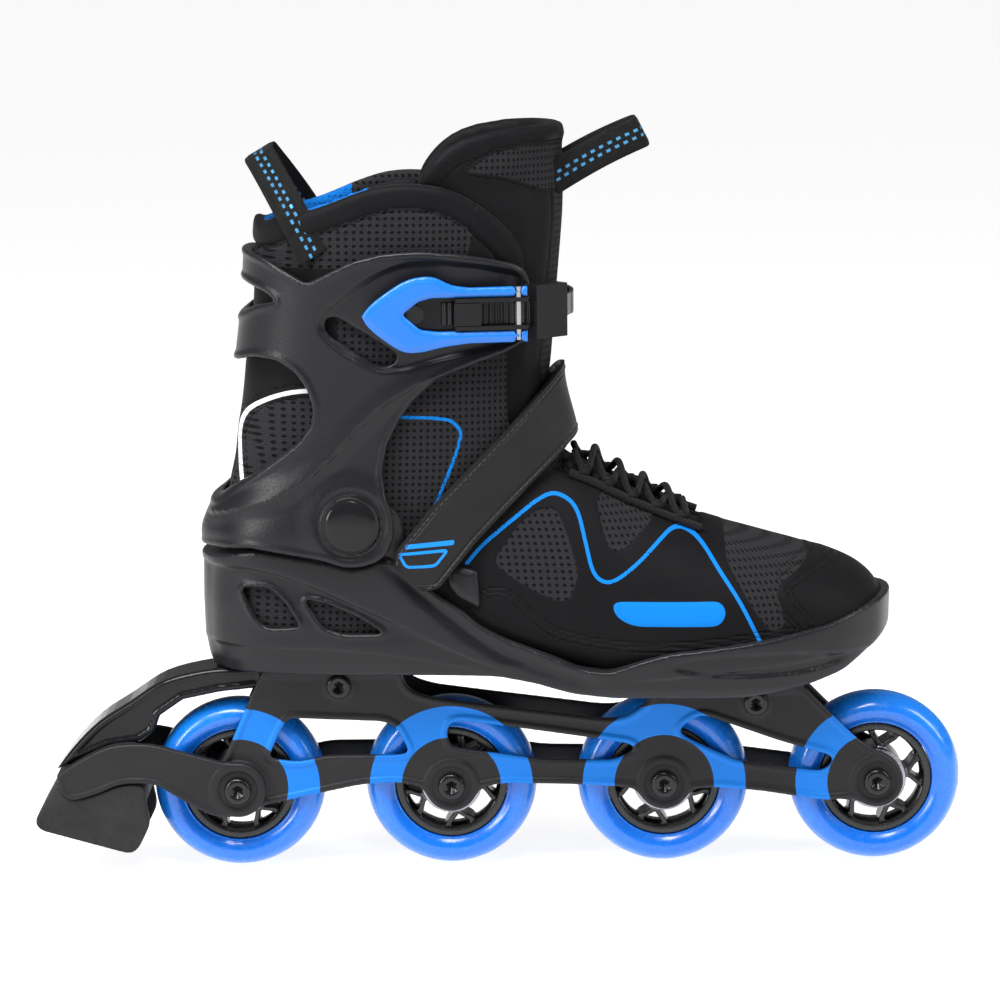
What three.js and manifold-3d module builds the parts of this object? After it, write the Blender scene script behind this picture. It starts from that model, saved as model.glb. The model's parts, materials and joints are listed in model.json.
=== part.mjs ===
// A right-foot inline skate: moulded base shell, pivoting cuff, soft boot, one-piece
// four-wheel frame and rear brake. Millimetres, +Z up, +X towards the toe, +Y towards the
// inner (medial) side of the foot. The floor is z = 0 and the wheels roll in the plane y = 0.
import * as THREE from "three";
import { mergeVertices } from "three/addons/utils/BufferGeometryUtils.js";
import Module from "manifold-3d";

const wasm = await Module();
wasm.setup();

// ---------------------------------------------------------------- driving dimensions
const WHEEL_D = 80; // wheel diameter
const WHEEL_W = 24; // wheel width, which is also the width across its two bearings
const WHEEL_GAP = 19; // free space between neighbouring wheels
const WHEEL_LINE_X = 27; // middle of the four axles, forward of the origin
const AXLE_D = 8; // axle shaft diameter
const BEARING_OD = 22;
const BEARING_W = 7;
const HUB_D = 52; // outer diameter of the plastic hub, inside the tyre
const PLATE_T = 3.5; // frame side plate thickness
const DECK_T = 4; // frame deck thickness, under the heel and the forefoot
const HEEL_RISE = 17; // heel sole above the top of the wheels
const TOE_RISE = 7; // forefoot sole above the top of the wheels
const BOOT_L = 320; // base shell, heel to toe
const BOOT_W = 113; // base shell, across the forefoot
const BOOT_H = 225; // heel sole to the top of the collar
const SHELL_T = 5; // base shell wall
const CUFF_T = 4; // cuff wall
const UPPER_T = 4; // soft upper, laminated fabric
const PAD_T = 7; // padded liner and tongue
const STRAP_W = 26; // instep strap
const PIVOT_CAP_D = 26; // cover cap on the cuff pivot
const FLEX_DEG = 8; // how far the cuff leans forward

// Clearances
const FIT = 0.3; // between pieces that touch
const RUN = 1; // between a wheel and the frame beside it
const GLIDE = 1.2; // between the cuff and the shell that it swings over

// ---------------------------------------------------------------- worked out from them
const AXLE_Z = WHEEL_D / 2;
const PITCH = WHEEL_D + WHEEL_GAP;
const AXLE_X = [-1.5, -0.5, 0.5, 1.5].map((n) => WHEEL_LINE_X + n * PITCH);
const PLATE_IN = WHEEL_W / 2 + RUN;
const PLATE_OUT = PLATE_IN + PLATE_T;
const HEEL_Z = WHEEL_D + HEEL_RISE;
const TOE_Z = WHEEL_D + TOE_RISE;

// The boot is drawn for a 320 x 113 x 225 mm boot on 80 mm wheels and stretched to the
// sizes above: bx, by and bz turn a drawn coordinate into the built one.
const SX = BOOT_L / 320;
const SY = BOOT_W / 113;
const SZ = BOOT_H / 225;
const DRAWN_HEEL_Z = 97;
const DRAWN_TOE_DROP = 10;
const bx = (x) => x * SX;
const by = (y) => y * SY;
const toeShare = (x) => THREE.MathUtils.smoothstep(x, 0, 50);
// Below the sole the drop to the forefoot follows the two deck heights.
const bz = (z, x = -60) =>
  HEEL_Z + (z - DRAWN_HEEL_Z) * SZ + toeShare(x) * (TOE_Z - HEEL_Z + DRAWN_TOE_DROP * SZ);
const PIVOT = new THREE.Vector2(bx(-66), bz(169));

// ---------------------------------------------------------------- solids
function solid(geometry) {
  const bare = geometry.index ? geometry.toNonIndexed() : geometry.clone();
  bare.deleteAttribute("normal");
  bare.deleteAttribute("uv");
  const merged = mergeVertices(bare, 1e-3);
  const made = new wasm.Manifold(
    new wasm.Mesh({
      numProp: 3,
      vertProperties: merged.attributes.position.array,
      triVerts: new Uint32Array(merged.index.array),
    }),
  );
  return made;
}

function geometryOf(made) {
  const mesh = made.getMesh();
  const points = new Float32Array(mesh.numVert * 3);
  for (let i = 0; i < mesh.numVert; i++) {
    points.set(mesh.vertProperties.subarray(i * mesh.numProp, i * mesh.numProp + 3), i * 3);
  }
  return new THREE.BufferGeometry()
    .setAttribute("position", new THREE.BufferAttribute(points, 3))
    .setIndex(new THREE.BufferAttribute(mesh.triVerts, 1));
}

const moved = (made, matrix) => solid(geometryOf(made).applyMatrix4(matrix));

// The largest piece of a cut solid, without the crumbs that a cut can leave.
function mainPiece(made) {
  return made.decompose().reduce((a, b) => (a.volume() > b.volume() ? a : b));
}

function closedShape(points) {
  return new THREE.Shape(points.map(([x, y]) => new THREE.Vector2(x, y)));
}

// A side-view shape (x, z) made solid between two y values.
function acrossY(shape, y0, y1, curveSegments = 6) {
  const geometry = new THREE.ExtrudeGeometry(shape, {
    depth: y1 - y0,
    bevelEnabled: false,
    curveSegments,
  });
  return solid(geometry.rotateX(Math.PI / 2).translate(0, y1, 0));
}

// A plan-view shape (x, y) made solid between two z values.
function alongZ(shape, z0, z1, curveSegments = 6) {
  const geometry = new THREE.ExtrudeGeometry(shape, {
    depth: z1 - z0,
    bevelEnabled: false,
    curveSegments,
  });
  return solid(geometry.translate(0, 0, z0));
}

function box(x0, x1, y0, y1, z0, z1) {
  const geometry = new THREE.BoxGeometry(x1 - x0, y1 - y0, z1 - z0);
  return solid(geometry.translate((x0 + x1) / 2, (y0 + y1) / 2, (z0 + z1) / 2));
}

// A round bar along y.
function barY(radius, y0, y1, x, z, segments = 20) {
  const geometry = new THREE.CylinderGeometry(radius, radius, y1 - y0, segments);
  return solid(geometry.translate(x, (y0 + y1) / 2, z));
}

function barZ(radius, z0, z1, x, y, segments = 16) {
  const geometry = new THREE.CylinderGeometry(radius, radius, z1 - z0, segments);
  return solid(geometry.rotateX(Math.PI / 2).translate(x, y, (z0 + z1) / 2));
}

// A profile of (radius, y) points turned about the y axis at (x, z). With flats the polygon
// is drawn round the circle, so its flats, one of them straight down, touch the circle.
function turned(profile, x, z, segments) {
  const flat = 1 / Math.cos(Math.PI / segments);
  const points = profile.map(([r, y]) => new THREE.Vector2(r * flat, y));
  const geometry = new THREE.LatheGeometry(points, segments);
  return solid(geometry.rotateY(Math.PI / segments).translate(x, 0, z));
}

// A closed skin over rings of equal count, closed with a fan at each end.
function loft(rings) {
  const count = rings[0].length;
  const middle = (ring) =>
    ring.reduce((sum, p) => sum.add(p), new THREE.Vector3()).divideScalar(count);
  const points = [...rings.flat(), middle(rings[0]), middle(rings[rings.length - 1])];
  const faces = [];
  for (let r = 0; r + 1 < rings.length; r++) {
    for (let i = 0; i < count; i++) {
      const a = r * count + i;
      const b = r * count + ((i + 1) % count);
      faces.push(a, b, a + count, b, b + count, a + count);
    }
  }
  const last = (rings.length - 1) * count;
  for (let i = 0; i < count; i++) {
    const next = (i + 1) % count;
    faces.push(next, i, points.length - 2);
    faces.push(last + i, last + next, points.length - 1);
  }
  return solid(new THREE.BufferGeometry().setFromPoints(points).setIndex(faces));
}

// A strap: rectangles of the given width and thickness along a list of points. The width
// runs along the given direction, or one direction for each point.
function ribbon(points, widthDirection, width, thickness) {
  const directions = Array.isArray(widthDirection) ? widthDirection : points.map(() => widthDirection);
  const rings = points.map((point, i) => {
    const ahead = points[Math.min(i + 1, points.length - 1)];
    const behind = points[Math.max(i - 1, 0)];
    const tangent = ahead.clone().sub(behind).normalize();
    const across = directions[i].clone().normalize();
    const out = new THREE.Vector3().crossVectors(tangent, across).normalize();
    return [
      [-1, -1],
      [-1, 1],
      [1, 1],
      [1, -1],
    ].map(([u, v]) =>
      point
        .clone()
        .addScaledVector(across, (u * width) / 2)
        .addScaledVector(out, (v * thickness) / 2),
    );
  });
  const made = loft(rings);
  return made.volume() > 0 ? made : loft(rings.reverse());
}

function smoothPath(points, count) {
  return new THREE.CatmullRomCurve3(points.map((p) => new THREE.Vector3(...p))).getPoints(count);
}

// ---------------------------------------------------------------- materials and the tree
const finish = (color, roughness, metalness = 0) =>
  new THREE.MeshStandardMaterial({ color, roughness, metalness });
const SHELL_PLASTIC = finish(0x2c2b31, 0.42);
const GLOSS_PLASTIC = finish(0x08080a, 0.12);
const BLUE_PLASTIC = finish(0x0a78d8, 0.35);
const BLUE_TYRE = finish(0x1672cf, 0.25);
const HUB_PLASTIC = finish(0x141416, 0.35);
const STEEL = finish(0x9a9aa0, 0.3, 1);
const BLACK_STEEL = finish(0x1b1b1e, 0.35, 0.8);
const FRAME_PAINT = finish(0x1e1d20, 0.55, 0.3);
const FABRIC = finish(0x161618, 0.95);
const LINING = finish(0x2b7fc4, 0.9);
const SYNTHETIC = finish(0x232226, 0.7);
const WEBBING = finish(0x1d1c1e, 0.95);
const RUBBER = finish(0x201f20, 0.8);

const skate = new THREE.Group();
function add(name, made, material) {
  const mesh = new THREE.Mesh(geometryOf(made), material);
  mesh.name = name;
  skate.add(mesh);
  return made;
}

// ---------------------------------------------------------------- the shape of the boot
// A ring of a rounded oval: exponent 2 is an ellipse, and more is squarer.
const RING_POINTS = 18;
function oval(exponentUp, exponentDown, place) {
  const points = [];
  for (let i = 0; i < RING_POINTS; i++) {
    const angle = (i / RING_POINTS) * Math.PI * 2;
    const power = 2 / (Math.sin(angle) >= 0 ? exponentUp : exponentDown);
    const soft = (value) => Math.sign(value) * Math.abs(value) ** power;
    points.push(place(soft(Math.cos(angle)), soft(Math.sin(angle))));
  }
  return points;
}

// Foot: x, underside, top, half width, sideways drift of the middle towards the big toe.
const FOOT = [
  [-121, 130, 168, 14, 0],
  [-117, 114, 184, 24, 0],
  [-105, 106, 190, 31, 0],
  [-75, 103.5, 192, 35.2, 0],
  [-5, 102.8, 203, 37.6, 0],
  [30, 98, 198, 42, 0],
  [60, 94, 181, 47, 0.5],
  [90, 93.2, 166, 50, 1],
  [120, 93.2, 156.5, 49.5, 2.5],
  [145, 95.5, 149, 45, 4],
  [163, 100, 142, 36, 5.5],
  [173, 106, 135, 25, 6.5],
  [178.5, 113, 127, 12, 7],
];
const FOOT_MIDDLE_X = 28;
const FOOT_LENGTH = 300;
const FOOT_TOP_POWER = 2.1;
const FOOT_SOLE_POWER = 3.4;
const waistOf = (z0, z1) => z0 + Math.min(26, 0.45 * (z1 - z0));

function footForm(offset) {
  const stretch = 1 + (2 * offset) / FOOT_LENGTH;
  const rings = FOOT.map(([x, low, high, half, drift]) => {
    const at = bx(FOOT_MIDDLE_X + (x - FOOT_MIDDLE_X) * stretch);
    const z0 = bz(low, x) - offset;
    const z1 = bz(high, x) + offset;
    const waist = waistOf(z0, z1);
    return oval(FOOT_TOP_POWER, FOOT_SOLE_POWER, (c, s) =>
      new THREE.Vector3(
        at,
        by(drift) + (by(half) + offset) * c,
        waist + (s >= 0 ? z1 - waist : waist - z0) * s,
      ),
    );
  });
  return loft(rings);
}

// Leg: height, rear, front, half width.
const LEG = [
  [118, -119, -25, 32],
  [140, -123, -8, 35],
  [160, -124.5, 8, 36.5],
  [180, -123.5, 22, 37.5],
  [200, -119.5, 33, 38.5],
  [232, -115.5, 27, 39.5],
  [268, -110.5, 29, 41.5],
  [310, -107.5, 32, 43.5],
  [352, -104, 31, 42.5],
];
const LEG_SQUARENESS = 2.5;

function legForm(offset, side = offset, front = offset) {
  const rings = LEG.map(([z, rear, ahead, half]) => {
    const x0 = bx(rear) - offset;
    const x1 = bx(ahead) + front;
    const height = bz(z);
    return oval(LEG_SQUARENESS, LEG_SQUARENESS, (c, s) =>
      new THREE.Vector3((x0 + x1) / 2 + ((x1 - x0) / 2) * c, (by(half) + side) * s, height),
    );
  });
  return loft(rings);
}

const bootForm = (offset) => footForm(offset).add(legForm(offset));

// The cuff has a wider skirt, which swings outside the shell: height, rear, front, half width.
const CUFF = [
  [140, -132, 8, 45],
  [152, -135, 12, 46],
  [163, -136.5, 16, 46.3],
  [180, -129.5, 26, 45.6],
  [200, -124, 34, 44.8],
  [236, -120, 32.5, 45.3],
  [268, -116, 34, 47],
  [300, -114, 36, 49],
];

function cuffForm(offset) {
  const rings = CUFF.map(([z, rear, ahead, half]) => {
    const x0 = bx(rear) - offset;
    const x1 = bx(ahead) + offset;
    const height = bz(z);
    return oval(LEG_SQUARENESS, LEG_SQUARENESS, (c, s) =>
      new THREE.Vector3((x0 + x1) / 2 + ((x1 - x0) / 2) * c, (by(half) + offset) * s, height),
    );
  });
  return loft(rings);
}

// Base shell in plan: x, half width, drift.
const PLAN = [
  [-137, 0, 0],
  [-134, 14, 0],
  [-126, 25.5, 0],
  [-110, 34.5, 0],
  [-80, 40, 0],
  [-40, 42, 0],
  [0, 44, 0],
  [40, 49.5, 0],
  [80, 55, 0.7],
  [110, 56.3, 1.8],
  [135, 52.5, 3.5],
  [155, 44.5, 5],
  [170, 33, 6],
  [178.5, 21, 6.8],
  [183, 0, 7.4],
];
// How far the wall tucks in below its widest height.
const TUCK = [
  [82, 14],
  [88, 7],
  [97, 3],
  [112, 0.5],
  [172, 0],
];

function planForm(inset) {
  const lateral = PLAN.map(([x, half, drift]) => [x, drift - half]);
  const medial = PLAN.slice(1, -1)
    .reverse()
    .map(([x, half, drift]) => [x, drift + half]);
  const outline = [...lateral, ...medial];
  const middle = [FOOT_MIDDLE_X - 5, 2];
  const rings = TUCK.map(([z, tuck]) => {
    const height = bz(z);
    return outline.map(([x, y], i) => {
      const before = outline[(i + outline.length - 1) % outline.length];
      const after = outline[(i + 1) % outline.length];
      const normal = new THREE.Vector2(after[1] - before[1], before[0] - after[0]).normalize();
      const out = Math.sign(normal.x * (x - middle[0]) + normal.y * (y - middle[1])) || 1;
      const pull = -(tuck + inset) * out;
      return new THREE.Vector3(bx(x) + normal.x * pull, by(y) + normal.y * pull, height);
    });
  });
  return loft(rings);
}

// Side-view outlines of the boot are drawn as (x, z) and then stretched.
const drawn = (points) => points.map(([x, z]) => [bx(x), bz(z, x)]);
const legDrawn = (points) => points.map(([x, z]) => [bx(x), bz(z)]);
const FAR = 75; // beyond the boot's half width
const cutSide = (points, y0 = -FAR, y1 = FAR) => acrossY(closedShape(points), y0, y1);

// ---------------------------------------------------------------- wheels
const WHEEL_SEGMENTS = 20;
const HUB_R = HUB_D / 2;
const TYRE_PROFILE = [
  [HUB_R + FIT, -9.5],
  [HUB_R + 6.5, -WHEEL_W / 2],
  [AXLE_Z - 2, -7],
  [AXLE_Z, -3],
  [AXLE_Z, 3],
  [AXLE_Z - 2, 7],
  [HUB_R + 6.5, WHEEL_W / 2],
  [HUB_R + FIT, 9.5],
];
const HUB_WINDOWS = 5;

function hub(x) {
  const core = BEARING_OD / 2 + 3;
  const rim = HUB_R - 3.5;
  const face = WHEEL_W / 2 - 0.8;
  const profile = [
    [BEARING_OD / 2 - 2.5, -4],
    [BEARING_OD / 2 + FIT, -4.5],
    [BEARING_OD / 2 + FIT, -face],
    [core, -face],
    [HUB_R, -9.2],
    [HUB_R, 9.2],
    [core, face],
    [BEARING_OD / 2 + FIT, face],
    [BEARING_OD / 2 + FIT, 4.5],
    [BEARING_OD / 2 - 2.5, 4],
  ];
  let made = turned([...profile, profile[0]], x, AXLE_Z, WHEEL_SEGMENTS);
  for (let n = 0; n < HUB_WINDOWS; n++) {
    const turn = (n / HUB_WINDOWS) * Math.PI * 2 + Math.PI / 2;
    const wide = new THREE.Shape();
    wide.absarc(x, AXLE_Z, rim - 0.8, turn - 0.42, turn + 0.42, false);
    wide.absarc(x, AXLE_Z, core + 1.8, turn + 0.3, turn - 0.3, true);
    made = made.subtract(acrossY(wide, -WHEEL_W, WHEEL_W, 1));
  }
  return made;
}

function ring(inner, outer, y0, y1, x, segments) {
  const profile = [
    [inner, y0],
    [outer, y0],
    [outer, y1],
    [inner, y1],
    [inner, y0],
  ];
  return turned(profile, x, AXLE_Z, segments);
}

const BORE_R = AXLE_D / 2 + FIT;
const BEARING_OUT = WHEEL_W / 2;
AXLE_X.forEach((x, i) => {
  const n = i + 1;
  add("tyre_" + n, turned([...TYRE_PROFILE, TYRE_PROFILE[0]], x, AXLE_Z, WHEEL_SEGMENTS), BLUE_TYRE);
  add("hub_" + n, hub(x), HUB_PLASTIC);
  for (const [side, sign] of [
    ["lateral", -1],
    ["medial", 1],
  ]) {
    const ends = [sign * BEARING_OUT, sign * (BEARING_OUT - BEARING_W)].sort((a, b) => a - b);
    add(`bearing_${n}_${side}`, ring(BORE_R, BEARING_OD / 2, ...ends, x, WHEEL_SEGMENTS), STEEL);
  }
  const reach = BEARING_OUT - BEARING_W - FIT;
  add("spacer_" + n, ring(BORE_R, BORE_R + 1.8, -reach, reach, x, 12), STEEL);
});

// ---------------------------------------------------------------- frame
const MOUNT_X = [AXLE_X[0] + PITCH / 2 - 2, AXLE_X[2] + PITCH / 2 - 7];
const HEEL_DECK = HEEL_Z - FIT;
const TOE_DECK = TOE_Z - FIT;
const near = (n, dx, dz) => [AXLE_X[n - 1] + dx, AXLE_Z + dz];
const fromHeel = (x, drop) => [x, HEEL_DECK - drop];
const fromToe = (x, drop) => [x, TOE_DECK - drop];
const HEEL_DECK_X = [AXLE_X[0] + 13, MOUNT_X[0] + 28];
const TOE_DECK_X = [MOUNT_X[1] - 50, MOUNT_X[1] + 21];

function plateShape() {
  const outline = new THREE.Shape();
  const line = (points) => points.forEach(([x, z]) => outline.lineTo(x, z));
  outline.moveTo(...fromHeel(HEEL_DECK_X[0], 0));
  line([fromHeel(HEEL_DECK_X[1], 0), fromHeel(HEEL_DECK_X[1] + 4, 10)]);
  line([near(2, -8, 42), near(2, 20, 38)]);
  line([near(2, 58, 33), near(3, -29, 31.5), near(3, -18, 31.5), fromToe(TOE_DECK_X[0], 8)]);
  line([fromToe(TOE_DECK_X[0] + 3, 0), fromToe(TOE_DECK_X[1], 0)]);
  line([near(4, -24, 35), near(4, 4, 12)]);
  outline.absarc(...near(4, 0, 0), 12, 1.2, -1.75, true);
  line([near(4, -24, -9), near(3, 45, -4), near(3, 24, -2)]);
  outline.absarc(...near(3, 0, 0), 12, -0.5, -2.64, true);
  line([near(3, -24, -1), near(2, 58, 0), near(2, 24, 1)]);
  outline.absarc(...near(2, 0, 0), 12, -0.5, -2.64, true);
  line([near(2, -24, 2), near(1, 57, 1), near(1, 28, -5)]);
  outline.absarc(...near(1, 0, 0), 12, -0.75, -3.5, true);
  return outline;
}

// The three windows in each side plate.
const WINDOWS = [
  [
    ...[near(1, 14, 14), near(1, 21, 29), near(1, 24, 33), near(1, 68, 31), near(1, 74, 28)],
    ...[near(1, 79.5, 17), near(1, 77, 15), near(1, 42, 15), near(1, 28, 12)],
  ],
  [
    ...[near(2, -2, 25), near(2, 0, 30), near(2, 5, 31), near(2, 30, 27.5), near(2, 60, 23)],
    ...[near(3, -15, 19), near(3, -14, 16), near(3, -23, 11.5)],
    ...[near(2, 44, 12), near(2, 6, 17.5), near(2, 0, 19)],
  ],
  [
    ...[near(3, 7, 24), near(3, 9, 28), near(3, 16, 32), near(3, 20, 32), near(3, 53, 20)],
    ...[near(4, -21, 12.5), near(4, -21, 8.5), near(4, -26, 5)],
    ...[near(3, 52, 8), near(3, 34, 10.5), near(3, 16, 19)],
  ],
];

function chassis() {
  let plates = acrossY(plateShape(), -PLATE_OUT, PLATE_OUT, 5);
  plates = plates.subtract(box(-300, 300, -PLATE_IN, PLATE_IN, 0, HEEL_Z + 50));
  for (const window of WINDOWS) plates = plates.subtract(cutSide(window));
  let made = plates
    .add(box(...HEEL_DECK_X, -PLATE_OUT, PLATE_OUT, HEEL_DECK - DECK_T, HEEL_DECK))
    .add(box(TOE_DECK_X[0] + 3, TOE_DECK_X[1], -PLATE_OUT, PLATE_OUT, TOE_DECK - DECK_T, TOE_DECK));
  for (const x of AXLE_X) {
    for (const sign of [-1, 1]) {
      const [y0, y1] = [sign * (BEARING_OUT + FIT), sign * PLATE_OUT].sort((a, b) => a - b);
      made = made.add(barY(7, y0, y1, x, AXLE_Z, 12));
    }
    made = made.subtract(barY(AXLE_D / 2 + FIT, -40, 40, x, AXLE_Z, 12));
  }
  MOUNT_X.forEach((x, i) => {
    const top = i ? TOE_DECK : HEEL_DECK;
    const long = LUG_L / 2 + FIT;
    const wide = LUG_W / 2 + FIT;
    made = made.subtract(box(x - long, x + long, -wide, wide, 0, top + 9));
    made = made.subtract(barY(SCREW_R + FIT, -40, 40, x, top - LUG_SCREW_DROP, 12));
  });
  return made;
}

// Lugs moulded under the shell drop between the plates and take the side screws.
const LUG_L = 18;
const LUG_W = 2 * PLATE_IN - 2 * FIT;
const LUG_DROP = 15;
const LUG_SCREW_DROP = 8.5;
const SCREW_R = 2.5;
const SCREW_REACH = 8;
add("chassis", chassis(), FRAME_PAINT);

function hexSocket(radius, y0, y1, x, z) {
  return barY(radius, y0, y1, x, z, 6);
}

MOUNT_X.forEach((x, i) => {
  const z = (i ? TOE_DECK : HEEL_DECK) - LUG_SCREW_DROP;
  for (const [side, sign] of [
    ["lateral", -1],
    ["medial", 1],
  ]) {
    const span = (a, b) => [sign * a, sign * b].sort((p, q) => p - q);
    const face = PLATE_OUT + FIT;
    const made = barY(5.6, ...span(face, face + 2.2), x, z, 16)
      .add(barY(SCREW_R, ...span(PLATE_IN - SCREW_REACH, face + 1), x, z, 12))
      .subtract(hexSocket(2.3, ...span(face + 0.8, face + 9), x, z));
    add(`frame_screw_${i ? "front" : "rear"}_${side}`, made, BLACK_STEEL);
  }
});

// ---------------------------------------------------------------- axles
const YOKE_T = 4;
const YOKE_IN = PLATE_OUT + FIT + 0.4;
const YOKE_OUT = YOKE_IN + YOKE_T;
AXLE_X.forEach((x, i) => {
  const face = (i ? PLATE_OUT : YOKE_OUT) + FIT;
  const made = barY(6.2, -face - 2.4, -face, x, AXLE_Z, 20)
    .add(barY(AXLE_D / 2, -face - 1, face, x, AXLE_Z, 16))
    .subtract(hexSocket(2.6, -face - 9, -face - 0.6, x, AXLE_Z))
    .subtract(hexSocket(2.6, face - 2, face + 9, x, AXLE_Z));
  add("axle_" + (i + 1), made, BLACK_STEEL);
});

// ---------------------------------------------------------------- brake
// The brake is drawn for an 80 mm wheel, from the rear axle, and grows with the wheel.
const BRAKE_SCALE = WHEEL_D / 80;
const brakeX = (x) => AXLE_X[0] + x * BRAKE_SCALE;
const brakeZ = (z) => AXLE_Z + z * BRAKE_SCALE;
const brake = (points) => points.map(([x, z]) => [brakeX(x), brakeZ(z)]);
const ARCH_HALF = 14;
function brakeArch() {
  const front = (HEEL_DECK_X[0] - FIT - AXLE_X[0]) / BRAKE_SCALE;
  const crown = (HEEL_DECK - AXLE_Z) / BRAKE_SCALE;
  const crest = [[front, crown], [-14, crown - 1], [-34, crown - 6], [-50, crown - 16], [-65, 31]];
  const top = new THREE.SplineCurve(
    [...crest, [-77, 19], [-85, 8.5]].map(([x, z]) => new THREE.Vector2(x, z)),
  ).getPoints(14);
  const under0 = [[-76, 13], [-60, 19.5], [-46, 21.5], [-39, 26], [-36, 34], [-25, 41.5]];
  const inner = [...under0, [-8, 45], [front - 5.5, 46.5]];
  const shape = closedShape(brake([...top.map((p) => [p.x, p.y]), ...inner]));
  const under = HEEL_DECK - DECK_T - FIT;
  const tab = box(HEEL_DECK_X[0] - 5, HEEL_DECK_X[0] + 9, -PLATE_IN + FIT, PLATE_IN - FIT, under - 4, under);
  return acrossY(shape, -ARCH_HALF, ARCH_HALF).add(tab);
}

// Drawn relative to the rear axle.
const YOKE_ARM = [
  [-84, 8],
  [-72, 15.5],
  [-60, 21],
  [-48, 22.5],
  [-37, 21.5],
  [-26, 18.5],
  [-4, 12.4],
];
const YOKE_LOW = [
  [-5, -12.5],
  [-12, -12],
  [-20, -8],
  [-30, -2],
  [-38, 2.6],
  [-48, 3.6],
  [-56, 2.6],
  [-66, -1.4],
  [-77, -4],
];
function brakeYoke() {
  const outline = closedShape(brake(YOKE_ARM));
  outline.absarc(...near(1, 0, 0), 13, 1.75, -1.95, true);
  for (const [x, z] of brake(YOKE_LOW)) outline.lineTo(x, z);
  const arms = acrossY(outline, -YOKE_OUT, YOKE_OUT, 8).subtract(
    box(brakeX(-46), 100, -YOKE_IN, YOKE_IN, -20, 200),
  );
  const half = ARCH_HALF + FIT;
  const hollow = box(AXLE_X[0] - 300, brakeX(-44), -half, half, brakeZ(11.5), 200);
  return arms
    .subtract(hollow)
    .subtract(barY(AXLE_D / 2 + FIT, -60, 60, AXLE_X[0], AXLE_Z, 16))
    .subtract(barZ(PAD_SCREW_R + FIT, 0, 60, AXLE_X[0] - PAD_SCREW_BACK, 0, 10));
}
const PAD_SCREW_R = 2.5;
const PAD_SCREW_BACK = 66 * BRAKE_SCALE;

function brakePad() {
  const top = YOKE_LOW.slice(5).map(([x, z]) => [x, z - FIT - 0.1]);
  const rear = [[-84.3, 5], [-95, -14], [-93, -18.5]];
  const low = [[-51, -30.5], [-47, -28], [-41, -16], [-43, -6]];
  const shape = closedShape(brake([[-43, 1.5], ...top, ...rear, ...low]));
  const front = brakeX(-41);
  return acrossY(shape, -20, 20)
    .subtract(box(front - 9, front + 9, -9, 9, AXLE_Z - 22, AXLE_Z - 6))
    .subtract(barZ(PAD_SCREW_R + FIT, 0, 60, AXLE_X[0] - PAD_SCREW_BACK, 0, 10))
    .subtract(barZ(6, 0, AXLE_Z - 14, AXLE_X[0] - PAD_SCREW_BACK, 0, 14));
}

add("brake_arch", mainPiece(brakeArch()), SHELL_PLASTIC);
add("brake_yoke", mainPiece(brakeYoke()), FRAME_PAINT);
add("brake_pad", mainPiece(brakePad()), RUBBER);
const padScrew = barZ(PAD_SCREW_R, AXLE_Z - 16, AXLE_Z + 9, AXLE_X[0] - PAD_SCREW_BACK, 0, 10)
  .add(barZ(5, AXLE_Z - 17.5, AXLE_Z - 14 - FIT, AXLE_X[0] - PAD_SCREW_BACK, 0, 12));
add("brake_pad_screw", padScrew, STEEL);

// ---------------------------------------------------------------- base shell
// The cuff rests on the shell's ledge, which runs round the heel and under the pivot.
const LOBE_R = 20;
const LEDGE = [
  [-150, 151],
  [-130, 153],
  [-112, 156.3],
  [-95, 154.5],
  [-80, 151.5],
];
const SOLE = [
  [-150, 97],
  [0, 97],
  [17, 94],
  [34, 89],
  [52, 87],
  [112, 87.5],
  [128, 89.5],
  [143, 92.5],
  [158, 97],
  [170, 105],
  [190, 118],
];
const RIM = [
  [190, 131],
  [174, 128],
  [149, 120],
  [125, 115.5],
  [95, 111.5],
  [78, 109.5],
  [66, 106],
  [50, 99.5],
  [36, 102],
  [27, 106.5],
  [2, 115.5],
  [-9, 121],
  [-14, 139],
  [-22, 151],
  [-36, 156],
  [-45, 149],
];

function ledgeShape() {
  const points = drawn([...SOLE, ...RIM]);
  const outline = closedShape(points);
  outline.absarc(PIVOT.x, PIVOT.y, LOBE_R + GLIDE, -0.86, -2.05, true);
  for (const [x, z] of [...LEDGE].reverse()) outline.lineTo(bx(x), bz(z) - GLIDE);
  return outline;
}

// The ears fill what the cuff wall leaves free inside its skirt.
const EAR_T = Math.min(3, 7 - CUFF_T);
const ANKLE_EAR = [
  [-150, 140],
  [-40, 135],
  [-43, 150],
  [-41, 166],
  [-47, 176],
  [-58, 182],
  [-72, 180.5],
  [-92, 171],
  [-150, 170],
];
const VENTS = [
  [[-117, 138], [-104, 138.5], [-97, 132], [-90, 120.5], [-105, 119.5], [-110, 123], [-114, 130]],
  [[-88, 133.5], [-78, 131.5], [-64, 125.5], [-52, 117.5], [-70, 117.5], [-79, 120], [-83, 125.5]],
];

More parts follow.
